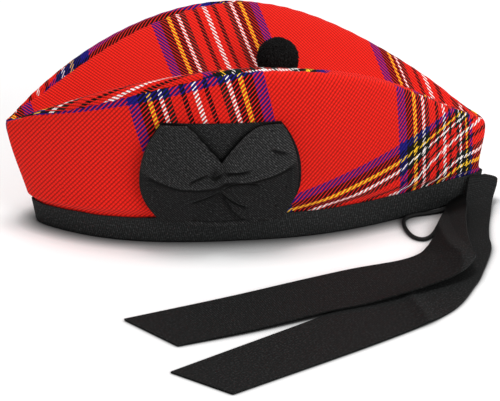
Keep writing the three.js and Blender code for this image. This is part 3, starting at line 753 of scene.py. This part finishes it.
# The line that is unbent lies at this share of the way from the binding to the seam.
LEFT_MIDDLE, RIGHT_MIDDLE = 0.5, 0.375
side_panel(
    "side_left_cloth", "side_left", -1, left_seam,
    lambda angle: 1 + LEFT_MIDDLE * (left_seam(angle, LEFT_LAY_END) - 1), LEFT_MIDDLE, left_lie)
side_panel(
    "side_right_cloth", "side_right", 1, right_seam,
    lambda angle: 1 + RIGHT_MIDDLE * (right_seam(angle) - 1), RIGHT_MIDDLE, right_lie)

# %% [markdown]
# ## Top panel
#
# The top is one long leaf of cloth, sewn between the two sides and creased down its middle. Its cloth was cut
# the other way of the weave, so its ribs slant the other way. It is worked out from the crease outwards.

# %% Top panel
TOP_END = 0.03  # the angle left free at each end, where the seams meet
TOP_ROWS = 121
TOP_LEAN = 0.2586
TOP_ACROSS = (
    (-137, -124.6), (-124.6, -112), (-41, -38), (-7.85, 0), (24, 38), (86, 112), (95.7, 124.4),
    (98.7, 131), (112.3, 150.4), (129, 169.6), (133.8, 176),
)
# The stripe along the left seam, from the front to the back: the seam cuts the stripes at a slant.
TOP_AT_SEAM = (
    (-135, -34), (-122.4, -25.8), (-113.4, -19.2), (-96, -6.5), (-77.8, 0), (-60.3, 6.5), (-27, 13.8),
    (-3.6, 17.4), (25, 18.5), (55, 4), (85, -18), (115, -45),
)
# Behind the toorie the seam has taken in more cloth: in a narrow strip the stripes run out into plain red.
SEAM_STRIP, SEAM_STRIP_STRIPES = 4.0, ((19.4, 19.2), (29, 25.4), (36.5, 34), (44, 42), (52, 75))
RIGHT_STRIP, RIGHT_STRIP_FROM = 4.0, 55.0  # and so has the right seam, from this place on
# In front the cloth beside the left seam is drawn together, by this share and to this depth.
TOP_DRAWN, TOP_DRAWN_DEPTH = 0.8, 8.0
TOP_DRAWN_FADE = ((-45, 1.0), (-20, 0.0))
TOP_SEAM_HIDDEN = 2.0  # the panel's first millimetres are in the seam's groove
# The stripes across are shifted by this on the near slope, fading between two places up it and along it.
TOP_NEAR_SHIFT, TOP_NEAR_UP, TOP_NEAR_ALONG = 4.5, (30, 50), (0, 25)
TOP_FINER = 1.3  # the top's ribs lie closer together

angle = np.linspace(TOP_END, np.pi - TOP_END, PANEL_COLUMNS)[:, None]
share = np.linspace(-1, 1, TOP_ROWS)
on_left = share < 0
seam_height = np.where(on_left, left_seam(angle), right_seam(angle))
height = 3 - np.abs(share) * (3 - seam_height)
to_side = np.where(on_left, -1.0, 1.0)
face = on_side(on_left, angle, height)
back = on_side(on_left, angle, height, CLOTH_INSET + CLOTH)
face[..., 1] *= to_side
back[..., 1] *= to_side
p, q = roll_out(face, TOP_ROWS // 2)
from_left = run(face, 1)
to_seam = np.minimum(from_left, from_left[:, -1:] - from_left)
off_groove = from_left - TOP_SEAM_HIDDEN
drawn = TOP_DRAWN * np.clip(off_groove, 0, TOP_DRAWN_DEPTH) * look_up(p, TOP_DRAWN_FADE)
near_shift = TOP_NEAR_SHIFT * ease(-q, *TOP_NEAR_UP) * (1 - ease(p, *TOP_NEAR_ALONG))
across = p + TOP_LEAN * q + near_shift
along = look_up(p, TOP_AT_SEAM) - off_groove - drawn
in_strip = (off_groove < SEAM_STRIP) & (p > SEAM_STRIP_STRIPES[0][0])
along = np.where(in_strip, look_up(p, SEAM_STRIP_STRIPES) - off_groove, along)
plain_edge = (from_left[:, -1:] - from_left < RIGHT_STRIP) & (p > RIGHT_STRIP_FROM)
top_sett = np.stack([np.where(plain_edge, HALF_SETT, stretch(across, TOP_ACROSS)), along], -1)
top_weave = np.stack([p, -q], -1) * TOP_FINER
upward = normals(face)
upward = upward * np.sign(upward[..., 2].sum())
face = face + upward * uneven_cloth(p, q, to_seam)[..., None]
points, faces = closed_sheet(face, back)
make_piece(
    "crown_top_cloth", points, faces, tartan,
    {"sett": np.stack([top_sett, top_sett]), "weave": np.stack([top_weave, top_weave])}, "crown_top")

# %% [markdown]
# ## Binding
#
# A black ribbon is folded over the lower edge and sewn through, so in section it is a U that the cloth stands
# in. That section, with rounded corners, is carried round the oval.

# %% Binding
RIBBON = 1.0  # thickness
BINDING_DEPTH = 4.6
BINDING_CORNER = 1.3
BINDING_COLUMNS = 420
ARC_STEPS = 7
EDGE_WAVES = ((0.22, 5, 1), (0.16, 13, 0), (0.1, 29, 2))  # height, waves in a turn and where each starts


def arc(centre_inset, centre_z, radius, start, end):
    """Points of a circle's arc in the section, as inset and z, between two angles in quarter turns."""
    turn = np.linspace(start, end, ARC_STEPS) * np.pi / 2
    return np.stack([centre_inset + radius * np.cos(turn), centre_z + radius * np.sin(turn)], -1)


leg = RIBBON / 2
inner = BINDING_DEPTH - RIBBON
# Each part of the section is points, as inset and z, and a flag that is 1 where z counts from the upper edge.
section = [
    (arc(BINDING_CORNER, BINDING_CORNER, BINDING_CORNER, 3, 2), 0),
    (arc(leg, -leg, leg, 2, 0), 1),
    (np.array([(RIBBON, RIBBON), (inner, RIBBON)]), 0),
    (arc(inner + leg, -leg, leg, 2, 0), 1),
    (arc(BINDING_DEPTH - BINDING_CORNER, BINDING_CORNER, BINDING_CORNER, 4, 3), 0),
]
profile = np.concatenate([part for part, _ in section])
from_top = np.concatenate([np.full(len(part), flag) for part, flag in section])
turn = np.linspace(0, 2 * np.pi, BINDING_COLUMNS, endpoint=False)[:, None]
half_turn = np.where(turn <= np.pi, turn, 2 * np.pi - turn)
uneven_edge = sum(height * np.sin(waves * turn + begin) for height, waves, begin in EDGE_WAVES)
z = profile[:, 1] + from_top * (binding_top(half_turn) + uneven_edge)
x, y = oval(half_turn, profile[:, 0], z)
points = np.stack([x, np.where(turn <= np.pi, -y, y), z], -1)
wrapped = closed_ring(closed_ring(np.arange(points.size // 3).reshape(points.shape[:2]), 0), 1)
weave = np.stack([run(points, 0), run(points, 1)], -1)
make_piece(
    "headband_binding", points.reshape(-1, 3), quads(wrapped), grosgrain,
    ribbon_maps(weave, np.ones(weave.shape[:2]), 1), "headband")

# %% [markdown]
# ## Cockade
#
# The cockade is wide ribbon on the left side: a flat layer behind, and in front a layer pinched at the middle
# into two puffed wings, with folds that run out from the pinch. It follows the side of the cap, so a function
# first finds the point of the wall at a given x and z, by correcting a guess a few times.

# %% Cockade
COCKADE_X, COCKADE_Z = -27.0, 43.0
COCKADE_HALF_WIDTH, COCKADE_CORNER_PULL, CORNER_PULL_POWER = 45.2, 12.0, 2.2
COCKADE_TOP, COCKADE_BOTTOM, COCKADE_BOTTOM_SAG = 36.2, 25.7, 4.0
COCKADE_HANG_Z = 27.0
COCKADE_LIFT = 0.5
SEARCH_STEP, SEARCH_TURNS = 0.001, 12
WALL_FOOT, WALL_HEAD = 1.0, 1.999  # heights from the binding to just under the crest


def on_left_wall(x, z, lift):
    """The point of the left side at x and z, lifted along its normal. A guess of angle and height is
    corrected by the rule of tangents: the miss in x and z is divided by how fast each changes. Lower than
    COCKADE_HANG_Z the ribbon hangs straight down."""
    wall_z = np.maximum(z, COCKADE_HANG_Z)
    angle = np.arccos(-x / (OPENING_LENGTH / 2))
    height = 1 + (wall_z - BINDING_HEIGHT) / (CREST_Z - BINDING_HEIGHT)
    for _ in range(SEARCH_TURNS):
        here = cloth_point(angle, height)
        by_angle = (cloth_point(angle + SEARCH_STEP, height) - here) / SEARCH_STEP
        by_height = (cloth_point(angle, height + SEARCH_STEP) - here) / SEARCH_STEP
        miss_x, miss_z = x - here[..., 0], wall_z - here[..., 2]
        scale = by_angle[..., 0] * by_height[..., 2] - by_angle[..., 2] * by_height[..., 0]
        angle = angle + (miss_x * by_height[..., 2] - miss_z * by_height[..., 0]) / scale
        height = height + (by_angle[..., 0] * miss_z - by_angle[..., 2] * miss_x) / scale
        height = np.clip(height, WALL_FOOT, WALL_HEAD)
    normal = unit(np.cross(by_angle, by_height))
    normal *= np.sign(normal[..., 1:2])
    place = here + normal * lift[..., None]
    return np.stack([place[..., 0], -place[..., 1], place[..., 2] + z - wall_z], -1)


def cockade_half_width(up):
    """Half the cockade's width: less towards its top and bottom by a power of up."""
    return COCKADE_HALF_WIDTH - COCKADE_CORNER_PULL * np.abs(up) ** CORNER_PULL_POWER


PINCH_TOP, PINCH_BOTTOM = 12.5, 5.5
REAR_INSET = 2.4  # the back layer shows beside the rear wing by this much
# For the front wing and the rear one: how far out the pinch is open at the top, and how fast it opens.
PINCH_REACHES, TOP_POWERS, BOTTOM_POWERS = (0.6, 0.85), (1.55, 2.6), (4.2, 6.2)


def bow_edges(across):
    """Upper and lower edge of the front layer and how far each is open: 1 less a power of the way left to the
    full height."""
    wide = np.abs(across)
    reach, top_power, bottom_power = (
        np.where(across < 0, *pair) for pair in (PINCH_REACHES, TOP_POWERS, BOTTOM_POWERS))
    open_top = 1 - np.maximum(0, 1 - wide / reach) ** top_power
    open_bottom = 1 - np.maximum(0, 1 - wide) ** bottom_power
    top = PINCH_TOP + (COCKADE_TOP - PINCH_TOP) * open_top
    bottom = -PINCH_BOTTOM - (COCKADE_BOTTOM - PINCH_BOTTOM) * open_bottom
    return top, bottom, open_top, open_bottom


BACK_COLUMNS, BACK_ROWS = 121, 121
# Painted light on the back layer: painted shade below the front layer, a painted shadow beside its edges, and
# a painted dark line of shade along the hem.
BACK_LIGHTS = (0.4, 0.65)  # below the front layer, and above it or on the hem
EDGE_SHADE, EDGE_SHADE_REACH = 0.75, 1.6  # in the shade beside the front layer
HEM_SHADE, HEM_LINE = 0.7, 0.5  # the dark line along the hem, and its width
RIPPLE, RIPPLE_ALONG, RIPPLE_UP = 0.25, 5.0, 9.0
HEM_HEIGHT, HEM_WIDTH, HEM_ROUND = 0.7, 2.8, 0.6  # the back layer's lower edge is turned up once
across = np.linspace(-1, 1, BACK_COLUMNS)[:, None] + np.zeros(BACK_ROWS)
up = np.linspace(-1, 1, BACK_ROWS)[None] + np.zeros((BACK_COLUMNS, 1))
sag = COCKADE_BOTTOM + COCKADE_BOTTOM_SAG * (1 - across**2)
x = COCKADE_X + across * cockade_half_width(up)
z = COCKADE_Z + up * np.where(up > 0, COCKADE_TOP, sag)
flat = np.stack([x, z], -1)
ripple = RIPPLE * np.sin(x / RIPPLE_ALONG + z / RIPPLE_UP) * (1 - across**2)
from_edge = z - (COCKADE_Z - sag)
hem = HEM_HEIGHT * (0.5 - 0.5 * np.tanh((from_edge - HEM_WIDTH) / HEM_ROUND))
from_x, from_z = x - COCKADE_X, z - COCKADE_Z
bow_top, bow_bottom, *_ = bow_edges(np.clip(from_x / COCKADE_HALF_WIDTH, -1, 1))
beside = np.abs(from_x) - cockade_half_width(up) + REAR_INSET * (from_x > 0) * (1 - up**2)
past = np.maximum(np.maximum(from_z - bow_top, bow_bottom - from_z), beside)
# Painted shade: darker below the front layer, beside its edges and along the hem.
in_shade = (from_z < 0) & (from_edge > HEM_WIDTH)
light = np.where(in_shade, *BACK_LIGHTS)
light = light * (1 - EDGE_SHADE * np.exp(-np.maximum(past, 0) / EDGE_SHADE_REACH))
light = light * (1 - HEM_SHADE * np.exp(-(((from_edge - HEM_WIDTH) / HEM_LINE) ** 2)))
under = on_left_wall(x, z, COCKADE_LIFT + 0 * x)
over = on_left_wall(x, z, COCKADE_LIFT + RIBBON + ripple + hem)
points, faces = closed_sheet(over, under)
cockade_back = make_piece(
    "cockade_back_ribbon", points, faces, twill_ribbon, ribbon_maps(flat, light, 2), "cockade_back")

# %% Pinched front layer of the cockade
BOW_COLUMNS = 241
LOWER_ROWS, ROLL_ROWS, UPPER_ROWS = 64, 10, 84
# The main fold, as mm across and up from the middle. Above it the wings stand out, below it they are tucked
# in.
MAIN_FOLD = np.array([
    (-46, 7.5), (-40, 5.5), (-25, 0.4), (-17, -0.5), (-8, -0.4), (-2, 0.5), (1.5, 3), (5, 3.6), (13, 4),
    (23, 5.8), (33, 8.4), (46, 13.5)])
UPPER_LIFT, LOWER_LIFT = (2.0, 6.5), (1.5, 4.0)  # how far each half stands out, and how much more at the fold
UPPER_POWER, LOWER_POWER = 1.2, 1.5  # how fast the two halves fall away from the fold
WING_SKEW, WING_POWER, PINCH_ROUND = 0.8, 0.6, 0.05
FOLD_FLAT_FROM, FOLD_FLAT_TO = 38.0, 43.5  # mm from the middle, where the fold runs out
ROLL_OUT, ROLL_REACH = 0.5, 2.0
KNOT_LIFT, KNOT_Z, KNOT_WIDTH, KNOT_HEIGHT = 1.5, 2.0, 5.0, 7.0
MAIN_FOLD_STEPS, SMALL_FOLD_STEPS = 200, 24
# Smaller folds: a line, the height of the overlap, and its reach above and below.
SMALL_FOLDS = (
    (((1.5, 8.8), (9.4, 9.9), (16, 12.2)), 1.6, 5.0, 3.0),
    (((0.9, -3), (4.1, -0.4), (8.1, 0.8), (13.4, 1.1), (21.9, 0)), 1.4, 3.0, 4.0),
    (((-18.2, 4.4), (-10.3, 8), (-6.4, 8.8)), 1.0, 5.0, 4.0),
    (((-16.9, -12), (-9, -9.1), (-1.1, -5.5)), 1.4, 6.0, 4.0),
    (((-1, -5.5), (4.1, -10.6), (9.4, -14.2), (15.3, -16.4)), 1.4, 6.0, 4.0),
    (((26.5, 23.4), (37, 19.3)), 1.1, 3.0, 3.0),
    (((-7, 8), (-4, 6.2), (-1, 7.5), (1.5, 9.5)), 1.2, 2.5, 2.0),
)
FOLD_EDGE = 0.4
FOLD_STARTS, FOLD_STOPS = np.array([(-1, 2), (-4, 1)])  # mm over which it comes up and dies out at its ends
# A crease is a painted thin dark line of shade below a fold, drawn a little wide so that it shows, and the
# fold itself is painted paler, a painted highlight. Further below it the ribbon is painted darker, in the lee
# of the fold.
MAIN_DROP, CREASE_DROP, CREASE_WIDTH, CREASE_SHADE = 3.2, 1.5, 0.9, 0.9
LIP_WIDTH, LIP_LIGHT = 1.2, 0.25
LEE_REACH, LEE_SHADE = 3.0, 0.35  # below it the ribbon is in the lee of the fold
# Painted shade: the lower lobes, tucked in under the upper ones, the front wing, which faces away from the
# light, the knot and the stitches are painted darker.
LOWER_LIGHT = 0.5  # the wings' lower lobes are tucked in under the upper ones
WING_LIGHTS = (0.75, 0.95)  # the front wing faces away from the light
KNOT_SHADE, STITCH_SHADE = 0.3, 0.8
# Dimples where a hidden thread pulls the ribbon in, as mm across and up, depth and radius.
DIMPLES = (
    (-4, 7.7, 1.4, 2.2), (-32, 31.4, 0.8, 0.7), (27.5, 32.8, 0.8, 0.7), (-36.6, -5.1, 0.8, 0.7),
    (30.1, -16.8, 0.8, 0.7), (35.7, -4.4, 0.8, 0.7),
)


def fold_height(x, z, line, height, above, below):
    """An overlap along a line: the ribbon above it stands out and rolls away over the distance above, and the
    ribbon under it is tucked in over the distance below; it fades at both ends of the line. The second answer
    is the painted light there: painted shade under the fold's edge and a painted highlight on it."""
    line = smooth_path(np.array(line, float), SMALL_FOLD_STEPS)
    ends = ease(x, *(line[0, 0] + FOLD_STARTS)) * (1 - ease(x, *(line[-1, 0] + FOLD_STOPS)))
    off = z - look_up(x, line)
    step = 0.5 + 0.5 * np.tanh(off / FOLD_EDGE)
    rolled = step * np.exp(-np.maximum(off, 0) / above) - (1 - step) * np.exp(np.minimum(off, 0) / below)
    return height * ends * rolled, 1 - ends * (1 - fold_light(off, CREASE_DROP))


def fold_light(off, drop):
    """Painted light by the distance above a fold's edge: all of it above and a little more on the edge, a
    painted highlight; almost none in a line under the edge and more again further down, as an exponential, a
    painted shade."""
    line = CREASE_SHADE * np.exp(-(((off + drop) / CREASE_WIDTH) ** 2))
    lee = LEE_SHADE * np.exp(np.minimum(off, 0) / LEE_REACH) * (off < 0)
    lip = LIP_LIGHT * np.exp(-((off / LIP_WIDTH) ** 2)) * (off > 0)
    return 1 + lip - np.minimum(line + lee, CREASE_SHADE)


across = np.linspace(-1, 1, BOW_COLUMNS)[:, None]
wide = np.abs(across)
top, bottom, open_top, open_bottom = bow_edges(across)
fold_z = look_up(across * COCKADE_HALF_WIDTH, smooth_path(MAIN_FOLD, MAIN_FOLD_STEPS))

# Each column runs from the lower edge up to the fold, round its roll, and on to the upper edge.
below = np.linspace(1, 0, LOWER_ROWS)
above = np.linspace(0, 1, UPPER_ROWS)
roll = np.linspace(0, 1, ROLL_ROWS + 2)[1:-1]
wing = np.sin(np.pi * np.minimum(np.hypot(wide, PINCH_ROUND), 1) ** WING_SKEW) ** WING_POWER
upper_lift = UPPER_LIFT[0] + UPPER_LIFT[1] * wing * np.cos(np.pi / 2 * above) ** UPPER_POWER
lower_lift = LOWER_LIFT[0] + LOWER_LIFT[1] * wing * (1 - below) ** LOWER_POWER
flat_side = ease(wide * COCKADE_HALF_WIDTH, FOLD_FLAT_FROM, FOLD_FLAT_TO)
step = upper_lift[:, :1] - lower_lift[:, -1:]
lower_lift = lower_lift + step * flat_side * (1 - below) ** LOWER_POWER
step = upper_lift[:, :1] - lower_lift[:, -1:]
roll_lift = lower_lift[:, -1:] + step * (0.5 - 0.5 * np.cos(np.pi * roll))
roll_z = fold_z - ROLL_OUT * np.sin(np.pi * roll) * (1 - flat_side)
z = np.concatenate([fold_z + (bottom - fold_z) * below, roll_z, fold_z + (top - fold_z) * above], 1)
bow_height = np.concatenate([lower_lift, roll_lift, upper_lift], 1)
opened = np.where(z > 0, open_top, open_bottom)
up = z / np.where(z > 0, top, -bottom)
x = across * (cockade_half_width(up * opened) - REAR_INSET * (across > 0) * wide**2 * (1 - up**2))
knot = np.exp(-((x / KNOT_WIDTH) ** 2) - ((z - KNOT_Z) / KNOT_HEIGHT) ** 2)
bow_height = bow_height + KNOT_LIFT * knot
off_fold = z - fold_z
# Painted light on the front layer: painted shade on the lower lobes, the front wing, the knot, the creases
# and the stitches, and painted highlights on the folds' edges.
light = np.where(off_fold < 0, LOWER_LIGHT, 1.0) * np.where(across < 0, *WING_LIGHTS)
light = light * (1 - KNOT_SHADE * knot)
light = light * (1 - (1 - flat_side) * (1 - fold_light(off_fold, MAIN_DROP)))
for line, height, reach_above, reach_below in SMALL_FOLDS:
    rise, fold_shade = fold_height(x, z, line, height, reach_above, reach_below)
    bow_height = bow_height + rise
    light = light * fold_shade
for dimple_x, dimple_z, depth, radius in DIMPLES:
    dimple = np.exp(-(((x - dimple_x) ** 2 + (z - dimple_z) ** 2) / radius**2))
    bow_height = bow_height - depth * dimple
    light = light * (1 - STITCH_SHADE * dimple)
lift = COCKADE_LIFT + RIBBON + GAP + np.maximum(0, bow_height)
flat = np.stack([x, z], -1)
# The under side of the roll lies one thickness higher, inside the fold.
under_z = z + RIBBON * np.exp(-((off_fold / ROLL_REACH) ** 2)) * (1 - flat_side)
under = on_left_wall(COCKADE_X + x, COCKADE_Z + under_z, lift)
over = on_left_wall(COCKADE_X + x, COCKADE_Z + z, lift + RIBBON)
points, faces = closed_sheet(over, under)
cockade_bow = make_piece(
    "cockade_bow_ribbon", points, faces, twill_ribbon, ribbon_maps(flat, light, 2), "cockade_bow")

# %% [markdown]
# ## Toorie
#
# The toorie is a ball of wool yarn, tied in the middle and clipped round. Its surface is thousands of yarn
# ends. Each is a short four-sided spike that stands on a ball of the same wool, and all of them are placed at
# once: a spiral spreads them evenly over the ball, and a seeded random draw tilts and shortens them.

# %% Toorie
TOORIE_TUFTS, TOORIE_SEED = 4200, 7
# As shares of the toorie's radius: where a yarn end is rooted, the ball that hides the roots, how unevenly
# the ends lean and how unevenly they are clipped, and the longest.
TUFT_ROOT, BALL_SHARE, TUFT_LEAN, TUFT_UNEVEN, TUFT_LONGEST = 0.8, 0.86, 0.16, 0.022, 1.05
# A yarn end in mm: half its thickness at the root and below the tip, and the length of the tip.
ROOT_HALF, SHOULDER_HALF, TIP_LENGTH = 0.6, 0.4, 0.35
ASKEW = (0.31, 0.55, 0.77)  # a direction that no yarn end has
GOLDEN_TURN = np.pi * (1 + 5**0.5)
toorie_low, toorie_high = (np.array(corner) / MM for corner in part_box("toorie"))
toorie_centre = (toorie_low + toorie_high) / 2
toorie_radius = (toorie_high - toorie_low).min() / 2
draw = np.random.default_rng(TOORIE_SEED)


def on_ball(polar, spin):
    """Points of a ball of radius 1, by the angle from its top and the angle round it."""
    across = np.sin(polar)
    return np.stack([across * np.cos(spin), across * np.sin(spin), np.cos(polar) + 0 * spin], -1)


number = np.arange(TOORIE_TUFTS) + 0.5
stand = on_ball(np.arccos(1 - 2 * number / TOORIE_TUFTS), GOLDEN_TURN * number)
tilt = draw.normal(0, TUFT_LEAN, (TOORIE_TUFTS, 3))
reach = toorie_radius * (1 + draw.normal(0, TUFT_UNEVEN, TOORIE_TUFTS))[:, None]
side = unit(np.cross(stand, ASKEW))
other = np.cross(stand, side)
root = stand * toorie_radius * TUFT_ROOT
end = unit(stand + tilt) * np.minimum(reach, toorie_radius * TUFT_LONGEST)
corners = np.stack([side, other, -side, -other], 1)
shoulder = (end - stand * TIP_LENGTH)[:, None] + corners * SHOULDER_HALF
spike = np.concatenate([root[:, None] + corners * ROOT_HALF, shoulder, end[:, None]], 1)
spike_faces = np.array([
    (0, 1, 5), (0, 5, 4), (1, 2, 6), (1, 6, 5), (2, 3, 7), (2, 7, 6), (3, 0, 4), (3, 4, 7),
    (4, 5, 8), (5, 6, 8), (6, 7, 8), (7, 4, 8), (0, 2, 1), (0, 3, 2)])
first_points = spike.shape[1] * np.arange(TOORIE_TUFTS)
tuft_faces = (spike_faces[None] + first_points[:, None, None]).reshape(-1, 3)
BALL_COLUMNS, BALL_ROWS = 48, 24
polar = np.linspace(0, np.pi, BALL_ROWS + 1)[1:-1]
spin = np.linspace(0, 2 * np.pi, BALL_COLUMNS, endpoint=False)[:, None]
ball = on_ball(polar, spin).reshape(-1, 3)
wrapped = closed_ring(np.arange(len(ball)).reshape(BALL_COLUMNS, -1), 0)
poles = np.array([(0, 0, 1.0), (0, 0, -1.0)])
top_pole, bottom_pole = (np.full(BALL_COLUMNS, len(ball) + k) for k in (0, 1))
ball_quads = quads(wrapped)
ball_faces = np.concatenate([
    ball_quads[:, [0, 2, 1]], ball_quads[:, [0, 3, 2]],
    np.stack([wrapped[:-1, 0], wrapped[1:, 0], top_pole], -1),
    np.stack([wrapped[1:, -1], wrapped[:-1, -1], bottom_pole], -1)])
ball_points = np.concatenate([ball, poles]) * toorie_radius * BALL_SHARE
points = np.concatenate([ball_points, spike.reshape(-1, 3)]) + toorie_centre
faces = np.concatenate([ball_faces, tuft_faces + len(ball_points)])
make_piece("toorie_yarn", points, faces, wool, {}, "toorie")

# %% [markdown]
# ## Ribbon tails
#
# Two ends of the ribbon come out of the binding at the back, turn over and lie across the floor towards the
# camera. Each is a strip between two edges: both edges are smooth paths through the solid model's points, and
# straight lines join them. Where the ribbon was once folded, a crease runs across it as a low ridge.

# %% Ribbon tails
TAIL_THICKNESS = 0.8
TAIL_COLUMNS, TAIL_ROWS = 241, 25
# Each row is a point of the inner edge and the point of the outer edge beside it.
UPPER_TAIL = np.array([
    (112.6, -12.9, 3.0, 119.5, -10.6, 5.5), (108.5, -18.3, 3.0, 119.8, -18.4, 6.4),
    (104.6, -30.0, 3.6, 117.5, -33.0, 9.8), (98.7, -44.3, 3.0, 113.4, -52.0, 10.5),
    (94.0, -57.5, 2.6, 110.6, -73.0, 11.0), (88.0, -68.0, 2.4, 110.0, -88.4, 11.0),
    (81.8, -75.8, 2.2, 109.4, -98.4, 8.8), (69.0, -82.0, 2.0, 96.0, -109.4, 3.6),
    (42.0, -88.0, 1.8, 53.7, -126.4, 2.0), (12.0, -96.6, 1.2, 23.0, -134.6, 1.8),
    (-32.0, -110.6, 0.6, -20.0, -148.6, 1.2), (-89.5, -127.5, 0.2, -63.5, -160.0, 0.4),
])
LOWER_TAIL = np.array([
    (124.4, -8.0, 16.0, 133.6, -2.8, 14.2), (122.6, -9.6, 15.2, 139.6, -5.6, 13.4),
    (121.2, -12.5, 9.0, 140.0, -8.2, 11.6), (119.2, -17.4, 1.6, 136.4, -15.0, 4.4),
    (116.0, -26.0, 0.0, 132.6, -28.0, 1.2), (112.0, -38.0, 0.0, 129.0, -42.0, 0.8),
    (107.0, -52.0, 0.0, 126.0, -57.8, 1.0), (99.0, -66.0, 0.0, 124.4, -71.6, 1.2),
    (88.0, -81.0, 0.0, 115.8, -94.4, 0.6), (77.0, -94.0, 0.0, 107.4, -112.2, 0.4),
    (64.0, -105.0, 0.0, 88.0, -140.5, 0.4), (28.0, -131.0, 0.0, 47.5, -167.2, 0.4),
    (-70.0, -187.5, 0.0, -40.2, -214.0, 0.2),
])
RIBBON_WIDTH = 38.0
# A crease's reach to each side and the width of its edge, as shares of the ribbon's width, and how much one
# side of it is painted paler and the other darker: a painted highlight and shade, as one side faces the
# light.
CREASE_SPAN, CREASE_EDGE, CREASE_LIGHT = 0.45, 0.05, 0.4
# Painted shade: a tail lying flat is painted darker, for the shade in the furrows of its ribs, and darker
# still beside the binding, a painted shadow of it.
TAIL_LIGHT = 0.6  # a ribbon lying flat is seen along its ribs, and their furrows make it darker
HOLLOW_LIGHT, HOLLOW_EDGE = 0.12, 0.07  # the light left beside the binding, and how softly the shade ends


def tail(name, node, stations, crease, crease_height, painted_shadow_to):
    """A strip of ribbon between two smooth edges, with its face one thickness above its back. A crease, a
    ridge like a low tent, runs over it from the inner edge to the outer one between two shares of its length.
    Up to the share given by the last argument the ribbon is painted darker, a painted shadow of the binding."""
    edges = smooth_path(stations, TAIL_COLUMNS)
    share = np.linspace(0, 1, TAIL_ROWS)[None, :, None]
    along = np.linspace(0, 1, TAIL_COLUMNS)[:, None]
    past_crease = share[..., 0] - (along - crease[0]) / (crease[1] - crease[0])
    off_crease = np.abs(past_crease)
    back = edges[:, None, :3] * (1 - share) + edges[:, None, 3:] * share
    back[..., 2] = np.maximum(back[..., 2] + crease_height * np.maximum(0, 1 - off_crease / CREASE_SPAN), 0)
    # Painted light: the painted shadow of the binding, and a painted highlight and shade on the two sides of
    # the crease.
    light = TAIL_LIGHT * (HOLLOW_LIGHT + (1 - HOLLOW_LIGHT) * ease(along, painted_shadow_to - HOLLOW_EDGE, painted_shadow_to))
    paler = CREASE_LIGHT * np.tanh(past_crease / CREASE_EDGE) * np.exp(-off_crease / CREASE_SPAN)
    light = light * (1 + paler)
    upward = normals(back)
    upward = upward * np.sign(upward[..., 2].sum())
    face = back + upward * TAIL_THICKNESS
    length = run(back, 0)
    across = RIBBON_WIDTH * share[..., 0]
    flat = np.stack(np.broadcast_arrays(length.mean(1, keepdims=True), across), -1)
    points, faces = closed_sheet(face, back)
    piece = make_piece(name, points, faces, grosgrain, ribbon_maps(flat, light, 2), node)
    return piece, float(length[-1].mean())


ribbon_tail_upper, upper_length = tail(
    "ribbon_tail_upper_strip", "ribbon_tail_upper", UPPER_TAIL,
    crease=(0.27, 0.62), crease_height=2.2, painted_shadow_to=0.24)
ribbon_tail_lower, lower_length = tail(
    "ribbon_tail_lower_strip", "ribbon_tail_lower", LOWER_TAIL,
    crease=(0.83, 0.87), crease_height=0.8, painted_shadow_to=0.0)
print("tails, mm:", round(upper_length), round(lower_length))

# %% [markdown]
# ## What is cloth
#
# A tail is a plain length of 38 mm ribbon. The cockade's two layers are cut from wider ribbon, and the front
# one is gathered at its middle.

# %% [markdown]
# ## Floor and light
#
# A white floor under wide soft lights gives the faint shadows of a product picture, and a painted contact
# shadow darkens it close to the cap. Large lamps close to the cap make soft edges, and a bright world fills
# the rest.

# %% Floor and light
FLOOR_HALF, FLOOR_DROP = 3000.0, 0.3  # the floor lies just under the binding
floor_mesh = bpy.data.meshes.new("floor")
floor_corners = np.array([(-1, -1, 0), (1, -1, 0), (1, 1, 0), (-1, 1, 0)]) * FLOOR_HALF - (0, 0, FLOOR_DROP)
floor_mesh.from_pydata((floor_corners * MM).tolist(), [], [(0, 1, 2, 3)])
floor = bpy.data.objects.new("floor", floor_mesh)
scene.collection.objects.link(floor)
white = new_material("matt white paper")
# Within CONTACT_REACH of what stands on it the floor sees less of the sky. The ambient occlusion node
# measures that, and its power is painted into the floor's colour: a painted contact shadow, deeper than the
# soft shadow that the lamps alone give there.
CONTACT_REACH, CONTACT_POWER = 13.0, 2.0
open_sky = add(white, "AmbientOcclusion", {"Distance": CONTACT_REACH * MM}, samples=16)
painted_contact_shadow = add(white, "Math", {0: open_sky.outputs["AO"], 1: CONTACT_POWER}, operation="POWER")
white_shader = add(white, "BsdfPrincipled", {
    "Base Color": painted_contact_shadow, "Roughness": 0.9, "Specular IOR Level": 0.1})
add(white, "OutputMaterial", {"Surface": white_shader})
floor_mesh.materials.append(white)

WORLD_LIGHT = 0.48
world = bpy.data.worlds.new("studio")
scene.world = world
world.use_nodes = True
sky = world.node_tree.nodes["Background"].inputs
sky["Color"].default_value = linear("#FFFFFF")
sky["Strength"].default_value = WORLD_LIGHT


def lamp(name, place, size, watts):
    """A square area light, placed and sized in metres, that looks at the middle of the cap."""
    light = bpy.data.lights.new(name, "AREA")
    light.size = size
    light.energy = watts
    piece = bpy.data.objects.new(name, light)
    scene.collection.objects.link(piece)
    piece.location = place
    aim = unit(np.array(place))
    piece.rotation_euler = (np.arccos(aim[2]), 0, np.arctan2(aim[1], aim[0]) + np.pi / 2)


lamp("overhead", place=(0.0, 0.06, 1.6), size=0.5, watts=13.5)
lamp("front right", place=(1.2, -1.5, 0.8), size=1.2, watts=21.0)
